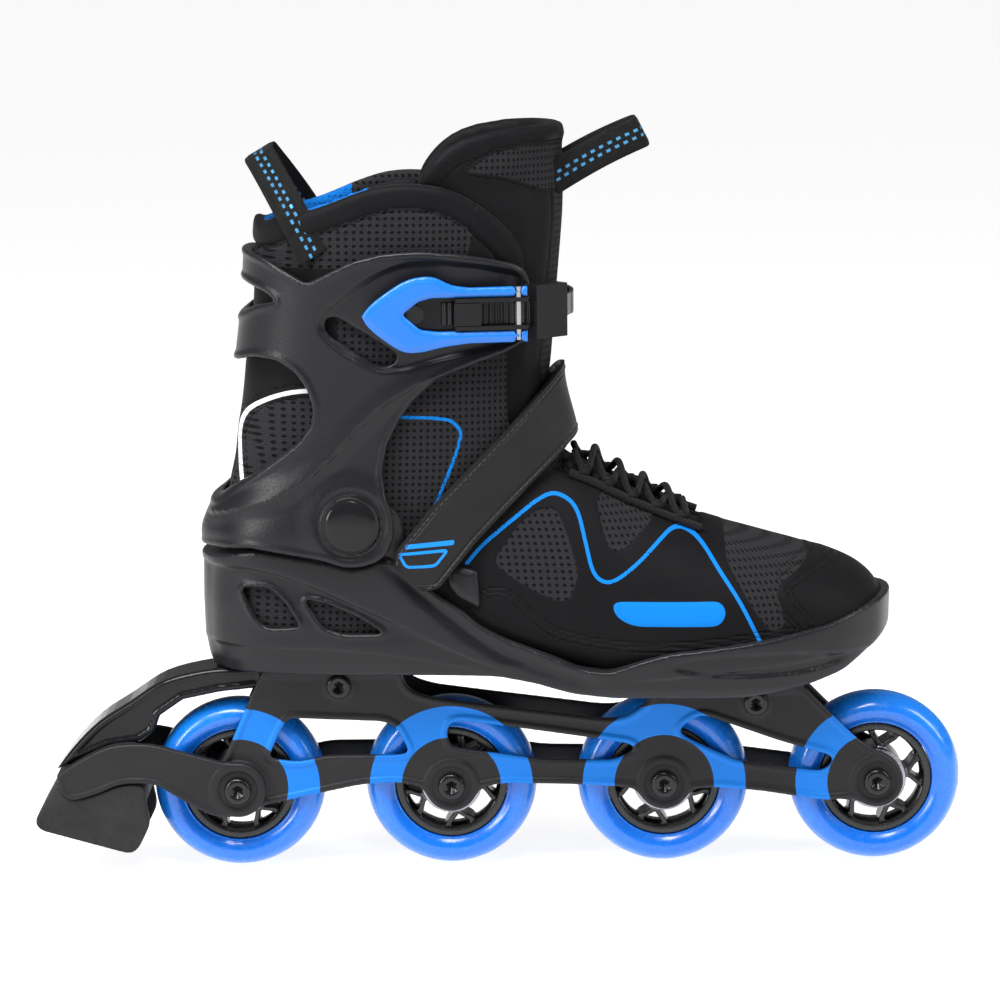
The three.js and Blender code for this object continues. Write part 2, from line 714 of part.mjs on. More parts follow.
function baseShell() {
  const tray = planForm(0).intersect(acrossY(ledgeShape(), -FAR, FAR)).subtract(bootForm(FIT));
  const ear = legForm(FIT + EAR_T)
    .subtract(legForm(FIT))
    .intersect(cutSide(legDrawn(ANKLE_EAR)))
    .subtract(footForm(FIT))
    .subtract(box(-300, 300, -100, 100, 0, bz(137)));
  const webSide = [[-150, 140], [-44, 138], [-43, 146], [-74, 147.5], [-95, 150], [-112, 151.5]];
  const web = planForm(0)
    .subtract(planForm(SHELL_T + 4))
    .subtract(legForm(FIT))
    .subtract(footForm(FIT))
    .intersect(cutSide(legDrawn([...webSide, [-150, 146]])));
  let made = tray.add(web).add(ear);
  for (const vent of VENTS) made = made.subtract(cutSide(legDrawn(vent)));
  MOUNT_X.forEach((x, i) => {
    const sole = i ? TOE_Z : HEEL_Z;
    made = made.add(box(x - LUG_L / 2, x + LUG_L / 2, -LUG_W / 2, LUG_W / 2, sole - LUG_DROP, sole + 2));
    made = made.subtract(barY(SCREW_R + FIT, -40, 40, x, sole - FIT - LUG_SCREW_DROP, 12));
  });
  for (const sign of [-1, 1]) {
    const ends = [sign * 20, sign * 60].sort((a, b) => a - b);
    made = made.subtract(barY(RIVET_R + FIT, ...ends, PIVOT.x, PIVOT.y, 16));
  }
  return mainPiece(made);
}

// ---------------------------------------------------------------- cuff
const RIVET_R = 5;
const CUFF_OUTLINE = [
  [-79, 152.5],
  [-95, 155.5],
  [-112, 157.3],
  [-130, 154],
  [-150, 152],
  [-150, 177],
  [-128, 178],
  [-120, 184],
  [-108, 192],
  [-98, 199],
  [-88, 207],
  [-83, 217],
  [-84, 229],
  [-89, 238],
  [-97, 243],
  [-109, 244],
  [-125, 239],
  [-150, 238],
  [-150, 261],
  [-118, 261.5],
  [-108, 267],
  [-98, 269.5],
  [-103, 273.5],
  [-115, 277],
  [-150, 278],
  [-150, 293],
  [-112, 292],
  [-102, 288.5],
  [-84, 277.5],
  [-67, 286.5],
  [-50, 291.5],
  [-32, 292],
  [-7, 289],
  [8, 286],
  [15, 279],
  [16, 251],
  [5, 246],
  [-14, 240],
  [-30, 232],
  [-41, 220],
  [-49, 205],
  [-52, 190],
  [-50, 180],
];
const CUFF_SLOT = [
  [-76, 262],
  [-71, 263.5],
  [-43, 246],
  [-46, 241],
  [-53, 241],
  [-76, 256],
];

function cuff() {
  const outline = closedShape(legDrawn([...CUFF_OUTLINE]));
  outline.absarc(PIVOT.x, PIVOT.y, LOBE_R, 0.55, -2.15, true);
  let made = cuffForm(0)
    .subtract(cuffForm(-CUFF_T))
    .intersect(acrossY(outline, -FAR, FAR))
    .subtract(cutSide(legDrawn(CUFF_SLOT), -FAR, 0));
  for (const sign of [-1, 1]) {
    const ends = [sign * 20, sign * 60].sort((a, b) => a - b);
    const outer = [sign * CAP_SEAT, sign * 60].sort((a, b) => a - b);
    made = made.subtract(barY(RIVET_R + FIT, ...ends, PIVOT.x, PIVOT.y, 16));
    made = made.subtract(barY(PIVOT_CAP_D / 2 + FIT, ...outer, PIVOT.x, PIVOT.y, 24));
  }
  return mainPiece(made);
}

const CUFF_SIDE = by(46.2);
const CAP_SEAT = CUFF_SIDE - 1.8;
const EAR_IN = by(37) + FIT;
for (const [side, sign] of [
  ["lateral", -1],
  ["medial", 1],
]) {
  const span = (a, b) => [sign * a, sign * b].sort((p, q) => p - q);
  const cap = barY(PIVOT_CAP_D / 2, ...span(CAP_SEAT + FIT, CUFF_SIDE + 0.9), PIVOT.x, PIVOT.y, 24)
    .add(barY(PIVOT_CAP_D / 2 - 2, ...span(CUFF_SIDE, CUFF_SIDE + 1.8), PIVOT.x, PIVOT.y, 24))
    .add(barY(RIVET_R, ...span(EAR_IN + 0.5, CUFF_SIDE), PIVOT.x, PIVOT.y, 16));
  add("cuff_pivot_" + side, cap, GLOSS_PLASTIC);
}

// ---------------------------------------------------------------- soft boot
// The soft pieces part at the ankle: what stays with the shell lies below a line that leans
// forward from the pivot, and what swings with the cuff lies above one that leans back from
// it by the cuff's travel. The fabric between them folds.
const FOLD_LOW = 38;
const FOLD_HIGH = FOLD_LOW + FLEX_DEG + 1;
const HEEL_FOLD = 160;
const FOLD_R = 26;
const ray = (degrees, radius) => [
  PIVOT.x + radius * Math.cos(THREE.MathUtils.degToRad(degrees)),
  PIVOT.y + radius * Math.sin(THREE.MathUtils.degToRad(degrees)),
];
const REACH = 400;
function footSide(made) {
  const above = [ray(FOLD_LOW, 0), ray(FOLD_LOW, REACH), ray(90, REACH), ray(HEEL_FOLD, REACH)];
  const wedge = cutSide(above).subtract(barY(FOLD_R, -FAR, FAR, PIVOT.x, PIVOT.y, 28));
  return made.subtract(wedge);
}
function legSide(made) {
  const above = [ray(FOLD_HIGH, 0), ray(FOLD_HIGH, REACH), ray(90, REACH), ray(HEEL_FOLD - 1, REACH)];
  const wedge = cutSide(above).subtract(barY(FOLD_R + GLIDE, -FAR, FAR, PIVOT.x, PIVOT.y, 28));
  return made.intersect(wedge);
}

const COLLAR = [
  [-160, 303.5],
  [-104, 305],
  [-80, 312],
  [-63, 318],
  [-47, 321.5],
  [-34, 321.5],
  [-19, 318],
  [-5, 310],
  [6, 300],
  [13, 288],
  [15, 270],
];
const THROAT_HALF = 17;
const TONGUE_BACK = -31;
const belowCollar = (lift) =>
  cutSide(legDrawn([...COLLAR.map(([x, z]) => [x, z + lift]), [15, 230], [60, 200], [60, 60], [-160, 60]]));

// The throat: an open strip up the instep, between the eyelet rows.
const THROAT = [[92, 150], [97, 200], [60, 260], [15, 270], [15, 215], [40, 190]];
const throat = (half) => cutSide(drawn(THROAT), -by(half), by(half));

function upperFoot() {
  const layer = bootForm(0).subtract(bootForm(-UPPER_T));
  return mainPiece(footSide(layer).subtract(throat(THROAT_HALF)));
}
function upperCollar() {
  const layer = legForm(0).subtract(legForm(-UPPER_T)).intersect(belowCollar(0));
  const front = [[-4, 200], [1, 260], [-2, 300], [-2, 400], [60, 400], [60, 200]];
  const opening = cutSide(legDrawn(front), -by(33), by(33));
  return mainPiece(legSide(layer).subtract(opening).subtract(tongueSpace()));
}
function linerCollar() {
  const layer = legForm(-UPPER_T - FIT).subtract(legForm(-UPPER_T - FIT - PAD_T));
  const x = TONGUE_BACK - 1;
  const behind = cutSide(legDrawn([[-160, 100], [x, 100], [x, 400], [-160, 400]]));
  return mainPiece(legSide(layer.intersect(belowCollar(4)).intersect(behind)));
}

const TONGUE_TOP = [
  [TONGUE_BACK, 200],
  [TONGUE_BACK, 322],
  [-27, 333],
  [-20, 340],
  [-10, 344],
  [8, 347],
  [26, 349],
  [60, 351],
  [60, 200],
];
const TONGUE_SIDE = -UPPER_T - 1.5;
const TONGUE_FRONT = -1.5;
const tongueSpace = () => legForm(FIT - UPPER_T - FIT, TONGUE_SIDE + FIT, TONGUE_FRONT + FIT);
function tongueUpper() {
  const layer = legForm(-UPPER_T - FIT, TONGUE_SIDE, TONGUE_FRONT).subtract(
    legForm(-UPPER_T - FIT - PAD_T, TONGUE_SIDE - PAD_T, TONGUE_FRONT - PAD_T),
  );
  return mainPiece(legSide(layer.intersect(cutSide(legDrawn(TONGUE_TOP)))));
}
function tongueLower() {
  const layer = bootForm(-UPPER_T - FIT).subtract(bootForm(-UPPER_T - FIT - PAD_T + 2));
  const strip = cutSide(drawn([[-12, 190], [100, 140], [100, 260], [-12, 300]]), -by(26), by(26));
  return mainPiece(footSide(layer.intersect(strip)));
}
function footbed() {
  const inside = footForm(-UPPER_T - FIT);
  const made = inside.subtract(moved(inside, new THREE.Matrix4().makeTranslation(0, 0, 4))).intersect(
    box(-300, 300, -by(60), by(60), 0, HEEL_Z + 18),
  );
  return mainPiece(made.intersect(cutSide(drawn([[-114, 90], [168, 90], [168, 120], [-114, 118]]))));
}
add("upper_foot", upperFoot(), FABRIC);
add("tongue_lower", tongueLower(), FABRIC);
add("footbed", footbed(), FABRIC);
add("upper_collar", upperCollar(), FABRIC);
add("liner", linerCollar(), LINING);
add("tongue_upper", tongueUpper(), FABRIC);


// Whether a point lies inside the boot, or inside the cuff, grown by an offset.
function between(table, at) {
  const i = Math.max(1, table.findIndex((row) => row[0] > at));
  const [a, b] = [table[i - 1], table[i]];
  const share = (at - a[0]) / (b[0] - a[0]);
  return a.map((value, k) => value + (b[k] - value) * share);
}
function insideFoot(p, offset) {
  const x = FOOT_MIDDLE_X + (p.x / SX - FOOT_MIDDLE_X) / (1 + (2 * offset) / FOOT_LENGTH);
  if (x <= FOOT[0][0] || x >= FOOT[FOOT.length - 1][0]) return false;
  const [, low, high, half, drift] = between(FOOT, x);
  const z0 = bz(low, x) - offset;
  const z1 = bz(high, x) + offset;
  const waist = waistOf(z0, z1);
  const power = p.z > waist ? FOOT_TOP_POWER : FOOT_SOLE_POWER;
  const c = Math.abs(p.y - by(drift)) / (by(half) + offset);
  const s = Math.abs(p.z - waist) / (p.z > waist ? z1 - waist : waist - z0);
  return c ** power + s ** power < 1;
}
function insideLeg(p, offset, table = LEG) {
  const z = DRAWN_HEEL_Z + (p.z - HEEL_Z) / SZ;
  if (z <= table[0][0] || z >= table[table.length - 1][0]) return false;
  const [, rear, front, half] = between(table, z);
  const x0 = bx(rear) - offset;
  const x1 = bx(front) + offset;
  const c = Math.abs(p.x - (x0 + x1) / 2) / ((x1 - x0) / 2);
  const s = Math.abs(p.y) / (by(half) + offset);
  return c ** LEG_SQUARENESS + s ** LEG_SQUARENESS < 1;
}
const insideBoot = (p, offset) => insideFoot(p, offset) || insideLeg(p, offset);
const insideCuff = (p, offset) => insideLeg(p, offset, CUFF);

// Where a ray leaves a form.
function surface(inside, from, direction, offset) {
  let low = 1;
  while (inside(from.clone().addScaledVector(direction, low), offset)) low += 4;
  let high = low;
  low -= 4;
  for (let i = 0; i < 12; i++) {
    const middle = (low + high) / 2;
    if (inside(from.clone().addScaledVector(direction, middle), offset)) low = middle;
    else high = middle;
  }
  return from.clone().addScaledVector(direction, high);
}

// A strap whose two edges follow two lists of points, with its thickness to either side.
function belt(edges, thickness) {
  const [low, high] = edges;
  const rings = low.map((a, i) => {
    const b = high[i];
    const middle = (k) => low[k].clone().add(high[k]);
    const ahead = middle(Math.min(i + 1, low.length - 1));
    const tangent = ahead.sub(middle(Math.max(i - 1, 0))).normalize();
    const out = new THREE.Vector3().crossVectors(tangent, b.clone().sub(a)).setLength(thickness / 2);
    return [a.clone().sub(out), a.clone().add(out), b.clone().add(out), b.clone().sub(out)];
  });
  const made = loft(rings);
  return made.volume() > 0 ? made : loft(rings.reverse());
}

// ---------------------------------------------------------------- instep strap
// One length: riveted to the outer side of the shell, up over the instep, round the bar of
// the ring on the inner side and back over itself to a stitched end.
const STRAP_T = 2;
const STRAP_RISE = 48.8;
const STRAP_OFF = 3.6;
const RING_BAR = 3;
const SHELL_SIDE = by(42.1);
const strapUp = new THREE.Vector3(0, 0, 1).applyAxisAngle(
  new THREE.Vector3(0, 1, 0),
  -THREE.MathUtils.degToRad(STRAP_RISE),
);
const STRAP_LINE = new THREE.Vector3(bx(-30), 0, bz(147));
const STRAP_STEPS = 20;
const STRAP_END = 0.62 * Math.PI;

// A point of the strap's run: where a ray fanned about a line inside the ankle, turned from
// straight ahead towards the inner side, leaves the boot grown by the offset.
const STRAP_HUB = 50;
const STRAP_START = -0.72 * Math.PI;
const strapAlong = new THREE.Vector3(1, 0, 0).applyAxisAngle(
  new THREE.Vector3(0, 1, 0),
  -THREE.MathUtils.degToRad(STRAP_RISE),
);
function strapAt(angle, offset, lift) {
  const hub = STRAP_LINE.clone().addScaledVector(strapUp, lift).addScaledVector(strapAlong, STRAP_HUB);
  const ray = strapAlong.clone().multiplyScalar(Math.cos(angle)).setY(Math.sin(angle));
  return surface(insideBoot, hub, ray, offset);
}
const strapRun = (from, to, steps, offset, lift) =>
  new Array(steps + 1)
    .fill(0)
    .map((_, i) => strapAt(THREE.MathUtils.lerp(from, to, i / steps), offset, lift));
const strapFoot = (lift, sign, out) =>
  STRAP_LINE.clone().addScaledVector(strapUp, lift).setY(sign * (SHELL_SIDE + out));

// The edge of a strap that runs out at one offset, turns round a bar and comes back above.
function foldedEdge(lift, from, to, steps, offset, gap, thickness) {
  const inner = strapRun(from, to, steps, offset, lift);
  const outer = strapRun(from, to, steps, offset + thickness + gap, lift).reverse();
  const beyond = inner[steps].clone().sub(inner[steps - 1]).normalize();
  const bend = inner[steps].clone().add(outer[0]).divideScalar(2).addScaledVector(beyond, gap);
  return [...inner, bend, ...outer];
}

function instepStrap(room = 0) {
  const half = STRAP_W / 2 + room;
  const edge = (lift) => [
    strapFoot(lift, -1, FIT + STRAP_T / 2),
    ...foldedEdge(lift, STRAP_START, STRAP_END, STRAP_STEPS, STRAP_OFF, RING_BAR, STRAP_T),
    strapFoot(lift, -1, FIT + 1.5 * STRAP_T + RING_BAR),
  ];
  return belt([edge(-half), edge(half)], STRAP_T + 2 * room);
}

// The ring: a flat frame, one bar inside the fold of the strap and the other in its tab.
const RING_WEB = 0.07; // bar width, as a turn about the strap's hub
const RING_HOLE = 0.27;
const TAB_W = STRAP_W - 6;
const TAB_T = 1.6;
const RING_OFF = STRAP_OFF + (STRAP_T + RING_BAR) / 2;
function strapRing() {
  const patch = (half, from, to, thickness) =>
    belt([-half, half].map((lift) => strapRun(from, to, 4, RING_OFF, lift)), thickness);
  const hole = [STRAP_END - 0.02, STRAP_END + RING_HOLE];
  const outer = patch(STRAP_W / 2 + 4, hole[0] - RING_WEB, hole[1] + RING_WEB, 2.2);
  return outer.subtract(patch(STRAP_W / 2 + 1, ...hole, 9));
}
function ringTab(room = 0) {
  const half = TAB_W / 2 + room;
  const bar = STRAP_END + RING_HOLE;
  const gap = 2 * (RING_OFF - STRAP_OFF) - TAB_T;
  const edge = (lift) => [
    strapFoot(lift, 1, FIT + TAB_T / 2),
    ...foldedEdge(lift, bar + 0.16, bar - 0.02, 3, STRAP_OFF, gap, TAB_T),
    strapFoot(lift, 1, FIT + TAB_T / 2 + TAB_T + 0.2),
  ];
  return belt([edge(-half), edge(half)], TAB_T + 2 * room);
}
const STRAP_RIVET_R = 2;
const strapRivet = (sign, reach) => {
  const span = (a, b) => [sign * a, sign * b].sort((p, q) => p - q);
  const face = SHELL_SIDE + reach + 2 * FIT;
  return barY(4, ...span(face, face + 1.2), STRAP_LINE.x, STRAP_LINE.z, 12).add(
    barY(STRAP_RIVET_R, ...span(SHELL_SIDE - 3.5, face + 1), STRAP_LINE.x, STRAP_LINE.z, 10),
  );
};
const UNDER_LAYER = SHELL_SIDE + FIT + STRAP_T + 0.8;
const rivetHole = barY(STRAP_RIVET_R + FIT, -UNDER_LAYER, 90, STRAP_LINE.x, STRAP_LINE.z, 10);
const strapRoom = instepStrap(FIT).add(ringTab(FIT));
add("base_shell", mainPiece(baseShell().subtract(rivetHole).subtract(strapRoom)), SHELL_PLASTIC);
add("instep_strap", instepStrap().subtract(rivetHole), SYNTHETIC);
add("strap_ring", mainPiece(strapRing().subtract(strapRoom)), STEEL);
add("ring_tab", ringTab().subtract(rivetHole), WEBBING);
add("strap_rivet_lateral", strapRivet(-1, STRAP_T), BLACK_STEEL);
add("strap_rivet_medial", strapRivet(1, 2 * TAB_T + 0.2), BLACK_STEEL);

// ---------------------------------------------------------------- laces
// Rows of loops up the throat, from the toe to the ankle: x and height of the lace.
const LACE_R = 1.7;
const LACE_X = [84, 73, 62, 51, 40];
const LOOP_Y = 20;
const laceHeight = (x, y, lift) =>
  surface(insideBoot, new THREE.Vector3(bx(x), by(y), bz(130)), new THREE.Vector3(0, 0, 1), 0).z + lift;
const lacePoint = (x, y, lift) => [bx(x), by(y), laceHeight(x, y, lift)];
function strand(side, crossing) {
  const points = [];
  LACE_X.forEach((x, i) => {
    const sign = i % 2 ? -side : side;
    const ahead = i ? [lacePoint(x + 2.6, sign * (LOOP_Y - 3), 3.2)] : [];
    const behind = i + 1 < LACE_X.length ? [lacePoint(x - 2.6, sign * (LOOP_Y - 3), 3.2)] : [];
    points.push(...ahead, lacePoint(x, sign * LOOP_Y, 2.6), ...behind);
    if (behind.length) points.push(lacePoint(x - 5.5, 0, crossing));
  });
  return points;
}
const lacePoints = [
  lacePoint(36, -11, 2.8),
  ...strand(-1, 6.4).reverse(),
  lacePoint(86.5, -9, 2.8),
  lacePoint(86.5, 9, 2.8),
  ...strand(1, 2.4),
  lacePoint(36, 11, 2.8),
];
function laceTube(radius) {
  const knots = lacePoints.map((p) => new THREE.Vector3(...p));
  const path = new THREE.CatmullRomCurve3(knots, false, "centripetal");
  const round = new THREE.Shape().absarc(0, 0, radius, 0, Math.PI * 2, false);
  return solid(new THREE.ExtrudeGeometry(round, { steps: 84, extrudePath: path, curveSegments: 3 }));
}
add("laces", laceTube(LACE_R), WEBBING);

// ---------------------------------------------------------------- buckle
const BUCKLE_TURN = 7;
const BUCKLE_AT = [bx(-20), -by(46.5), bz(265)];
const LEVER_PIN_S = 30;
const PAWL_PIN_S = 4;
const buckleFrame = new THREE.Matrix4()
  .makeTranslation(...BUCKLE_AT)
  .multiply(new THREE.Matrix4().makeRotationZ(THREE.MathUtils.degToRad(BUCKLE_TURN)));
const onBuckle = (made) => moved(made, buckleFrame);
const LADDER_W = 10;
const LADDER_T = 1.8;
const BASE_T = 2;
const CHEEK = LADDER_W / 2 + FIT;
const LEVER_GAP = CHEEK + 1.8 + FIT;
const LEVER_Y = -BASE_T - LADDER_T - 2 * FIT - 2.2;
const BLOCK_TURN = 40;
const BLOCK_L = 18;

const BLOCK_S = 34.5;
const blockFrame = new THREE.Matrix4()
  .makeTranslation(BLOCK_S, -0.5, 0)
  .multiply(new THREE.Matrix4().makeRotationZ(THREE.MathUtils.degToRad(BLOCK_TURN - BUCKLE_TURN)));

function buckleBase() {
  const plate = box(-26, 37, -BASE_T, 14, -CHEEK - 1.8, CHEEK + 1.8);
  const cheeks = box(1.5, 34, LEVER_Y - 2.4, 0, -CHEEK - 1.8, CHEEK + 1.8).subtract(
    box(0, 35, LEVER_Y - 9, -BASE_T + 0.01, -CHEEK, CHEEK),
  );
  const block = moved(box(0, BLOCK_L, -7, 3, -12, 12), blockFrame);
  const leverPin = barZ(1.5 + FIT, -30, 30, LEVER_PIN_S, LEVER_Y, 12);
  const pins = leverPin.add(barZ(1 + FIT, -30, 30, PAWL_PIN_S, LEVER_Y, 10));
  const screwHole = barY(2 + FIT, -30, 30, -16, 0, 12);
  return onBuckle(plate.add(cheeks).add(block).subtract(pins).subtract(screwHole)).subtract(cuffForm(FIT));
}

function buckleLever() {
  const outline = new THREE.Shape();
  outline.moveTo(-39, 0);
  outline.quadraticCurveTo(-37, 7, -30, 12);
  outline.quadraticCurveTo(-20, 19, -8, 15);
  outline.lineTo(6, 11.5);
  outline.lineTo(LEVER_PIN_S + 3, 11.5);
  outline.lineTo(LEVER_PIN_S + 3, -11.5);
  outline.lineTo(6, -11.5);
  outline.lineTo(-12, -14);
  outline.quadraticCurveTo(-27, -15, -33, -7);
  outline.quadraticCurveTo(-37, -4, -39, 0);
  const hole = new THREE.Path();
  hole.moveTo(-25, 0);
  hole.quadraticCurveTo(-14, 12, -6, LEVER_GAP);
  hole.lineTo(LEVER_PIN_S + 5, LEVER_GAP);
  hole.lineTo(LEVER_PIN_S + 5, -LEVER_GAP);
  hole.lineTo(-6, -LEVER_GAP);
  hole.quadraticCurveTo(-16, -9, -25, 0);
  const loop = acrossY(outline, LEVER_Y - 2.2, LEVER_Y + 2.2, 5);
  const opening = acrossY(closedShape(hole.getPoints(4).map((p) => [p.x, p.y])), -30, 30);
  const pinHole = barZ(1.5 + FIT, -30, 30, LEVER_PIN_S, LEVER_Y, 12);
  return onBuckle(loop.subtract(opening).subtract(pinHole));
}

// ---------------------------------------------------------------- ladder strap
const LADDER_Z = BUCKLE_AT[2];
const LADDER_STEPS = 12;
const LADDER_HUB = new THREE.Vector3(bx(-30), 0, LADDER_Z);
const LADDER_FROM = -0.3;
const LADDER_TO = 1.36; // where it ends on the inner side, turned from straight ahead
function ladderPath() {
  const channel = -BASE_T - FIT - LADDER_T / 2;
  const start = [-4, 8, 20, 31].map((at) => new THREE.Vector3(at, channel, 0).applyMatrix4(buckleFrame));
  const inBlock = [5, BLOCK_L].map((at) =>
    new THREE.Vector3(at, channel - 0.15, 0).applyMatrix4(blockFrame).applyMatrix4(buckleFrame),
  );
  const wrap = new Array(LADDER_STEPS + 1).fill(0).map((_, i) => {
    const angle = THREE.MathUtils.lerp(LADDER_FROM, LADDER_TO, i / LADDER_STEPS);
    const ray = new THREE.Vector3(Math.cos(angle), Math.sin(angle), 0);
    return surface(insideCuff, LADDER_HUB, ray, LADDER_T / 2 + 2 * FIT);
  });
  return [...start, ...inBlock, ...wrap];
}
const LADDER_SCREW_X = bx(-10);
const ladderScrewHole = barY(2 + FIT, 20, 90, LADDER_SCREW_X, LADDER_Z, 10);
const buckleBaseMade = mainPiece(buckleBase());
const ladder = ribbon(ladderPath(), new THREE.Vector3(0, 0, 1), LADDER_W - FIT, LADDER_T);
const ladderRoom = ribbon(ladderPath(), new THREE.Vector3(0, 0, 1), LADDER_W + FIT, LADDER_T + 2 * FIT);
add("buckle_base", mainPiece(buckleBaseMade.subtract(ladderRoom)), GLOSS_PLASTIC);
add(
  "cuff",
  mainPiece(cuff().subtract(onBuckle(barY(2 + FIT, -9, 12, -16, 0, 10))).subtract(ladderScrewHole)),
  SHELL_PLASTIC,
);
add("buckle_lever", mainPiece(buckleLever()), BLUE_PLASTIC);
add("lever_pin", onBuckle(barZ(1.5, -11.9, 11.9, LEVER_PIN_S, LEVER_Y, 10)), STEEL);
const pawl = box(1, 13, LEVER_Y - 2.6, LEVER_Y + 1.6, -CHEEK + FIT, CHEEK - FIT).add(
  barZ(1, -CHEEK - 1.6, CHEEK + 1.6, PAWL_PIN_S, LEVER_Y, 8),
);
add("buckle_pawl", onBuckle(pawl), GLOSS_PLASTIC);
const head = barY(4, -BASE_T - FIT - 2, -BASE_T - FIT, -16, 0, 16);
const screw = head.add(barY(2, -BASE_T - 1, 2.6, -16, 0, 10));
add("buckle_screw", onBuckle(screw), BLACK_STEEL);

add("ladder_strap", mainPiece(ladder.subtract(cuffForm(FIT)).subtract(ladderScrewHole)), GLOSS_PLASTIC);

const ladderSide = surface(
  insideCuff,
  new THREE.Vector3(LADDER_SCREW_X, 0, LADDER_Z),
  new THREE.Vector3(0, 1, 0),
  0,
).y;
const headSeat = ladderSide + LADDER_T + 4 * FIT;
const ladderScrew = barY(3.8, headSeat, headSeat + 1.8, LADDER_SCREW_X, LADDER_Z, 12).add(
  barY(2, ladderSide - CUFF_T + 0.6, headSeat + FIT, LADDER_SCREW_X, LADDER_Z, 10),
);
add("ladder_screw", ladderScrew, BLACK_STEEL);

// ---------------------------------------------------------------- eyestays
// A corded edge along each side of the throat, with a loop for each bend of the lace.
const LOOP_L = 5.4;
function eyestay(sign) {
  const edge = [34, 46, 58, 70, 82, 93].map((x) => {
    const [px, py, pz] = lacePoint(x, sign * (LOOP_Y + 3.2), 2.9);
    return new THREE.Vector3(px, py, pz);
  });
  const round = new THREE.Shape().absarc(0, 0, 1.8, 0, Math.PI * 2, false);
  const path = new THREE.CatmullRomCurve3(edge);
  let made = solid(new THREE.ExtrudeGeometry(round, { steps: 10, extrudePath: path, curveSegments: 4 }));
  for (const x of LACE_X) {
    const [px, py, pz] = lacePoint(x, sign * LOOP_Y, 2.6);
    const inward = sign * py - 0.3;
    const y = [sign * inward, sign * (inward + 4.5)].sort((a, b) => a - b);
    made = made.add(box(px - LOOP_L / 2, px + LOOP_L / 2, ...y, pz - 1.1, pz + 3.2));
  }
  return made.subtract(laceTube(LACE_R + 0.9));
}
add("eyestay_lateral", mainPiece(eyestay(-1)), WEBBING);
add("eyestay_medial", mainPiece(eyestay(1)), WEBBING);

// ---------------------------------------------------------------- pull loops
const LOOP_T = 1.6;
const LOOP_W = 15;
// A U of webbing: from one side, out to the tip and back to the other side.
function pullLoop(foot, tip, halfAt, halfTip, backed) {
  const along = new THREE.Vector3(tip[0] - foot[0], 0, tip[1] - foot[1]).normalize();
  const across = new THREE.Vector3(-along.z, 0, along.x);
  const at = ([x, z], y, on) => new THREE.Vector3(x, y, z).addScaledVector(along, on);
  const beside = (sign, on) => at(foot, 0, on).setY(sign * halfAt(at(foot, 0, on)));
  const side = (sign) => [beside(sign, 0), beside(sign, backed), at(tip, sign * halfTip, -5)];
  const path = [...side(-1), at(tip, -halfTip * 0.6, 0), at(tip, halfTip * 0.6, 0), ...side(1).reverse()];
  return ribbon(path, across, LOOP_W, LOOP_T);
}
const tongueLoop = pullLoop([bx(26), bz(321)], [bx(67), bz(342)], () => 15, 11, 12)
  .subtract(legForm(-UPPER_T, TONGUE_SIDE + FIT, TONGUE_FRONT + FIT));
add("tongue_pull_loop", mainPiece(tongueLoop), WEBBING);
const collarSide = (p) => surface(insideBoot, p, new THREE.Vector3(0, 1, 0), LOOP_T / 2 + 2 * FIT).y;
const heelLoop = pullLoop([bx(-80), bz(290)], [bx(-106), bz(334)], collarSide, 15, 23);
add("heel_pull_loop", mainPiece(heelLoop.subtract(legForm(FIT).intersect(belowCollar(5)))), WEBBING);

export default skate;
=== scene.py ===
import json
import math

import bmesh
import bpy
import numpy as np
import openvdb
from mathutils import Matrix, Vector

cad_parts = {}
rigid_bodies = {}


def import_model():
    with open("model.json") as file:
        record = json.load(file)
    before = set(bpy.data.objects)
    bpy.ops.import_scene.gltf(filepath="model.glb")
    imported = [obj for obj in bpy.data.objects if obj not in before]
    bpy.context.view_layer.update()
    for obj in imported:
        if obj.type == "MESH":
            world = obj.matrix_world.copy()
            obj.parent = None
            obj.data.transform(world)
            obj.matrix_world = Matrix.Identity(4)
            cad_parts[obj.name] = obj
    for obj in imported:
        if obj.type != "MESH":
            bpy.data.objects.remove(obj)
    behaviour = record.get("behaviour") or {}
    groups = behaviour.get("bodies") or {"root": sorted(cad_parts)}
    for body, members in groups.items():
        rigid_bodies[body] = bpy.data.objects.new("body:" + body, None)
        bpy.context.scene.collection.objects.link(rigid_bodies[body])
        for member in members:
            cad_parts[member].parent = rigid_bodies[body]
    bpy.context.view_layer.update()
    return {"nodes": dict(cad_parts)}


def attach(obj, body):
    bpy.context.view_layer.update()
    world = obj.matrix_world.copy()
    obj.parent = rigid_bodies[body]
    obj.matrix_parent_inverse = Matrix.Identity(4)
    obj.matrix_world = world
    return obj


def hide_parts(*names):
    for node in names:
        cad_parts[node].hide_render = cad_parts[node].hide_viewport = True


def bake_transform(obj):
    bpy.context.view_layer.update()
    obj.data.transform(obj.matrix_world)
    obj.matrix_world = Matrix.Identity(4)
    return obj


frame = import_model()

# ---------------------------------------------------------------- camera
# A long lens well back from the outer side, aimed at the middle of the skate and looking
# slightly down at it.
camera = bpy.data.objects.new("camera", bpy.data.cameras.new("camera"))
bpy.context.collection.objects.link(camera)
camera.data.lens = 126.7
camera.data.sensor_width = 36
camera.data.clip_start = 0.05
TILT = math.radians(10)
ROLL = math.radians(-0.6)
DISTANCE = 1.63
AIM = (0.0015, 0, 0.1719)
camera.matrix_world = (
    Matrix.Translation((AIM[0], -DISTANCE * math.cos(TILT), AIM[2] + DISTANCE * math.sin(TILT)))
    @ Matrix.Rotation(math.pi / 2 - TILT, 4, "X")
    @ Matrix.Rotation(ROLL, 4, "Z")
)
bpy.context.scene.camera = camera
bpy.context.scene.view_settings.view_transform = "Standard"

